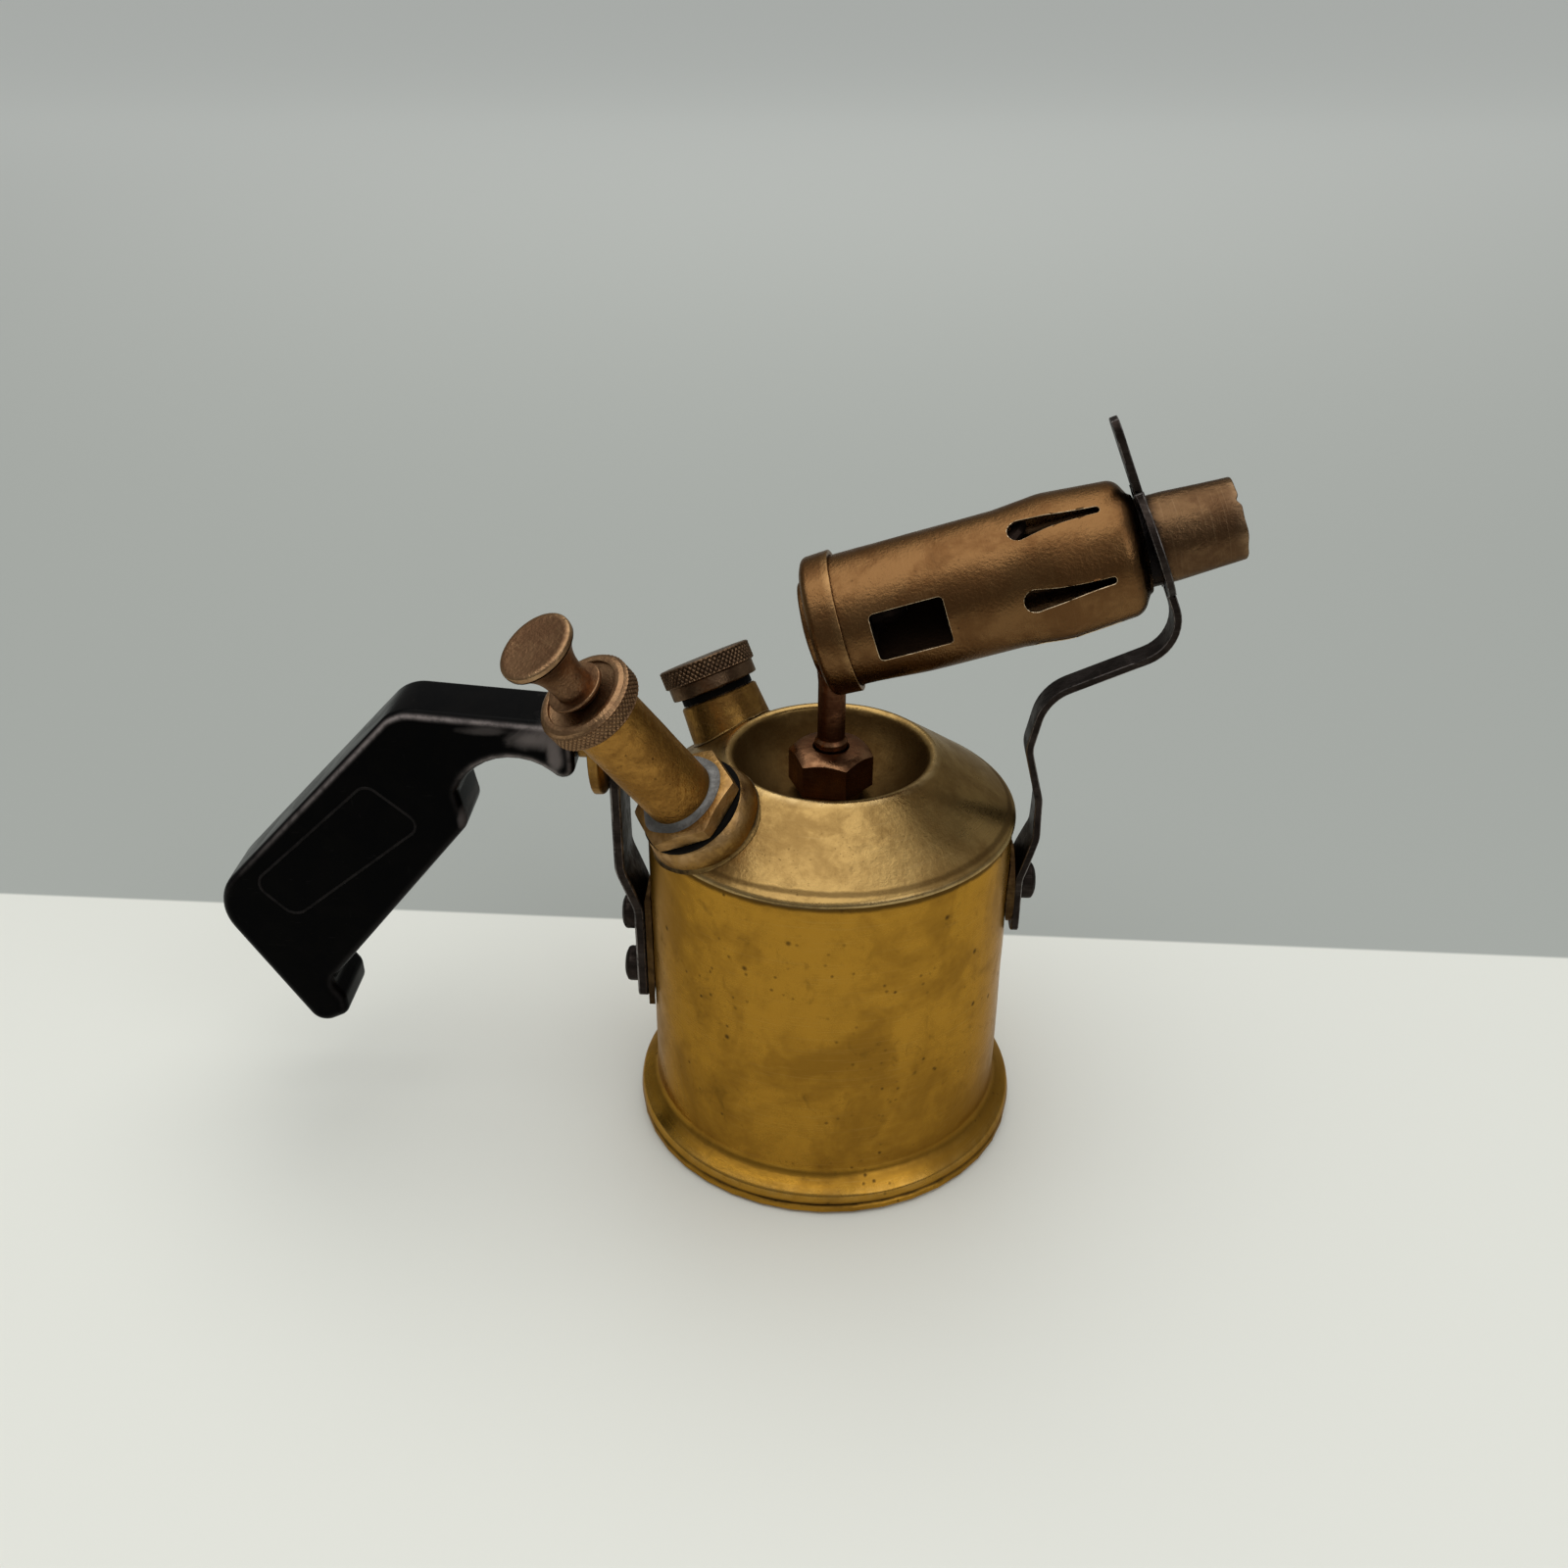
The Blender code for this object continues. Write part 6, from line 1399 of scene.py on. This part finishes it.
    def build(self) -> None:
        """Build and dress the pump."""
        self.fit(self.boss(), FITTING_BRASS, Slot.AGED_BRASS, ("pump_boss",))
        self.fit(self.fillet("boss_solder", PUMP, self.boss_foot, 0.0007, 9), FOOT_RESIDUE, Slot.AGED_BRASS)
        self.fit(self.washer(), BLACK_SEAL, Slot.BLACK_SEAL, ("pump_gasket",))
        self.fit(self.nut(), FITTING_BRASS, Slot.AGED_BRASS, ("pump_hex",))
        self.fit(self.solder(), SOLDER, Slot.AGED_BRASS)
        self.fit(self.tube(), PUMP_BRASS, Slot.AGED_BRASS, ("pump_barrel",))
        self.fit(self.cap(), COPPER_BROWN, Slot.COPPER_BROWN, ("pump_cap",))
        self.fit(self.knob(), COPPER_BROWN, Slot.COPPER_BROWN, ("pump_knob",), Body.PLUNGER)
        self.dress(DARK_STEEL, "pump_rod", "valve_spring")
        self.dress(FITTING_BRASS, "pump_piston", "pump_nut", "valve_body", "valve_retainer")
        self.dress(LEATHER, "pump_leather", "valve_pad")


@dataclass
class Filler(SubAssembly):
    """The filler neck with its washer and knurled screw cap."""

    tank: Tank = None
    pump: Pump = None
    bore: float = 0.0076
    top: float = 0.0082
    top_radius: float = 0.0094
    foot_radius: float = 0.0099
    knurl_radius: float = 0.01125
    step_radius: float = 0.01055

    def neck(self) -> bpy.types.Object:
        """Make the neck, whose lower edge follows the shoulder all round."""
        angles = np.arange(112) * TAU / 112
        outer = self.tank.foot_of(FILLER, np.full(112, self.foot_radius), angles) - 0.0002
        inner = self.tank.foot_of(FILLER, np.full(112, self.bore), angles) - 0.0002
        radii = [self.bore, self.bore, self.top_radius - 0.0004, self.top_radius, self.foot_radius, self.foot_radius]
        heights = [inner, self.top + 0 * angles, self.top + 0 * angles, self.top - 0.0004 + 0 * angles,
                   np.maximum(0.0005, outer + 0.0002), outer]
        radius = np.array(radii)[:, None] + 0 * angles
        grid = np.stack([radius * np.cos(angles), radius * np.sin(angles), np.array(heights)], -1)
        return skin("filler_neck_turned", grid, FILLER, loop_rows=True)

    def cap(self) -> bpy.types.Object:
        """Make the screw cap: a low crown, a coarse diamond knurl, a plain step and the plug."""
        edge = self.knurl_radius
        line = np.concatenate([
            arc_line([(0.0, 0.0181, 0.0), (0.0060, 0.0181, 0.01), (edge - 0.0004, 0.0180, 0.0003),
                      (edge - 0.0001, 0.0178, 0.0)], 4),
            refine(np.array([(edge, 0.0177), (edge, 0.0138)]), 0.00019),
            [(edge - 0.0002, 0.0136), (self.step_radius, 0.0134)],
            arc_line([(self.step_radius, 0.0132, 0.0), (self.step_radius, 0.0103, 0.0004), (0.0073, 0.0103, 0.0),
                      (0.0073, 0.0043, 0.0), (0.0059, 0.0043, 0.0), (0.0059, 0.0133, 0.0), (0.0, 0.0133, 0.0)], 4)])
        grid, cut = diamonds(revolve(line, 448), 0.0137, 0.0178, 54, 0.00034)
        # The cut paints shade and dirt into the knurl's grooves; its crests stay rubbed.
        return skin("filler_cap_knurled", grid, FILLER, wear_and_highlight=0.25 * (1 - cut), shade_and_dirt=cut)

    def build(self) -> None:
        """Build and dress the filler."""
        self.fit(self.neck(), FITTING_BRASS, Slot.AGED_BRASS, ("filler_neck",))
        self.fit(self.pump.fillet("neck_solder", FILLER, self.foot_radius, 0.0006, 14), FOOT_RESIDUE, Slot.AGED_BRASS)
        self.fit(self.cap(), CAP_BROWN, Slot.COPPER_BROWN, ("filler_cap",), Body.CAP)
        self.dress(BLACK_SEAL, "filler_gasket")


@dataclass
class Studio:
    """The pale table, the grey sheet behind it, the lamps and the camera."""

    table: Colour = (0.70, 0.71, 0.66)
    behind: Colour = (0.345, 0.365, 0.345)
    behind_far: Colour = (0.80, 0.83, 0.79)
    before: Colour = (0.24, 0.24, 0.22)
    edge: float = 0.0684
    edge_slope: float = 0.03105
    span: float = 40.0
    eye: Point = (0.0, -0.30167, 0.26037)
    yaw: float = -0.035
    pitch: float = 0.519
    roll: float = 0.003
    focal_share: float = 1550.0 / 1600.0
    sensor: float = 36.0

    def floor(self) -> None:
        """Make the floor, pale in front of a straight edge and grey behind it, and dark far in front as painted shade
        for the unlit room that the metal reflects.
        """
        steps = np.linspace(-self.span / 2, self.span / 2, 13)
        grid = np.stack(np.meshgrid(steps, steps, indexing="ij") + [np.zeros((13, 13))], -1)
        piece = skin("floor", grid, loop_columns=False)
        if piece.data.polygons[0].normal.z < 0:
            piece.data.flip_normals()
        graph = Graph("pale_floor")
        place = graph.node("ShaderNodeSeparateXYZ", None, {0: graph.where})
        along = Wire(graph, place.outputs["X"])
        deep = Wire(graph, place.outputs["Y"])
        past = deep + along * self.edge_slope - self.edge
        soft = graph.noise(0.25, 3.0).ease(0.3, 0.7) * 0.06
        drop = graph.blend(self.behind, self.behind_far, deep.ease(0.15, 2.2))
        table = graph.blend(self.table, tuple(tone * 0.93 for tone in self.table), soft)
        # Far in front of the table the floor turns dark: painted shade standing for the unlit room that the metal
        # reflects.
        table = graph.blend(self.before, table, deep.ease(-0.62, -0.26) * (1.0 - along.size().ease(0.28, 0.62)))
        colour = graph.blend(table, drop, past.ease(-0.0006, 0.0010))
        rough = 0.45 + past.ease(-0.0006, 0.0010) * 0.4
        piece.data.materials.append(graph.surface({"Base Color": colour, "Roughness": rough,
                                                   "Specular IOR Level": 0.3}))

    def lamp(self, name: str, place: Point, size: tuple[float, float], power: float, colour: Colour) -> None:
        """Hang a soft rectangular lamp that faces the blow lamp."""
        light = bpy.data.lights.new(name, "AREA")
        light.shape = "RECTANGLE"
        light.size, light.size_y = size
        light.energy = power
        light.color = colour
        item = bpy.data.objects.new(name, light)
        bpy.context.scene.collection.objects.link(item)
        aim = Vector((0.0, 0.0, 0.08)) - Vector(place)
        item.matrix_world = Matrix.Translation(place) @ aim.to_track_quat("-Z", "Y").to_matrix().to_4x4()

    def sky(self) -> None:
        """Set the room's even light, paler above than at the sides."""
        world = bpy.data.worlds.new("room")
        bpy.context.scene.world = world
        world.use_nodes = True
        tree = world.node_tree
        tree.nodes.clear()
        where = tree.nodes.new("ShaderNodeTexCoord")
        split = tree.nodes.new("ShaderNodeSeparateXYZ")
        tree.links.new(where.outputs["Generated"], split.inputs[0])
        ramp = tree.nodes.new("ShaderNodeValToRGB")
        ramp.color_ramp.elements[0].position = 0.20
        ramp.color_ramp.elements[0].color = (0.30, 0.30, 0.29, 1.0)
        ramp.color_ramp.elements[1].position = 1.0
        ramp.color_ramp.elements[1].color = (0.90, 0.91, 0.92, 1.0)
        tree.links.new(split.outputs["Z"], ramp.inputs[0])
        back = tree.nodes.new("ShaderNodeBackground")
        back.inputs["Strength"].default_value = 0.75
        tree.links.new(ramp.outputs[0], back.inputs["Color"])
        output = tree.nodes.new("ShaderNodeOutputWorld")
        tree.links.new(back.outputs[0], output.inputs["Surface"])

    def camera(self) -> None:
        """Set the camera where the photograph was taken from."""
        sin_yaw, cos_yaw = math.sin(self.yaw), math.cos(self.yaw)
        sin_pitch, cos_pitch = math.sin(self.pitch), math.cos(self.pitch)
        ahead = Vector((sin_yaw * cos_pitch, cos_yaw * cos_pitch, -sin_pitch))
        level = Vector((cos_yaw, -sin_yaw, 0.0))
        rise = level.cross(ahead)
        right = level * math.cos(self.roll) + rise * math.sin(self.roll)
        upward = rise * math.cos(self.roll) - level * math.sin(self.roll)
        data = bpy.data.cameras.new("camera")
        data.sensor_width = self.sensor
        data.sensor_fit = "HORIZONTAL"
        data.lens = self.sensor * self.focal_share
        data.clip_start = 0.01
        item = bpy.data.objects.new("camera", data)
        bpy.context.scene.collection.objects.link(item)
        turn = Matrix((right, upward, -ahead)).transposed().to_4x4()
        item.matrix_world = Matrix.Translation(self.eye) @ turn
        bpy.context.scene.camera = item

    def build(self) -> None:
        """Build the floor, lamps, room light and camera."""
        self.floor()
        self.sky()
        self.lamp("soft_key", (-0.14, 0.10, 1.25), (1.9, 1.5), 13.4, (1.0, 0.99, 0.96))
        self.lamp("soft_fill", (0.8, -0.9, 0.9), (0.9, 0.9), 3.5, (0.97, 0.98, 1.0))
        self.camera()
        bpy.context.scene.view_settings.view_transform = "Standard"


def main() -> None:
    """Build each sub-assembly in order, then the studio."""
    logging.basicConfig(level=logging.INFO, format="%(name)s: %(message)s")
    rack = FinishRack()
    tank = Tank(rack)
    pump = Pump(rack, tank)
    parts = (tank, Riser(rack), Burner(rack), Straps(rack), Grip(rack), pump, Filler(rack, tank, pump), Studio())
    for part in parts:
        LOG.info("building %s", type(part).__name__)
        part.build()


if __name__ == "__main__":
    main()
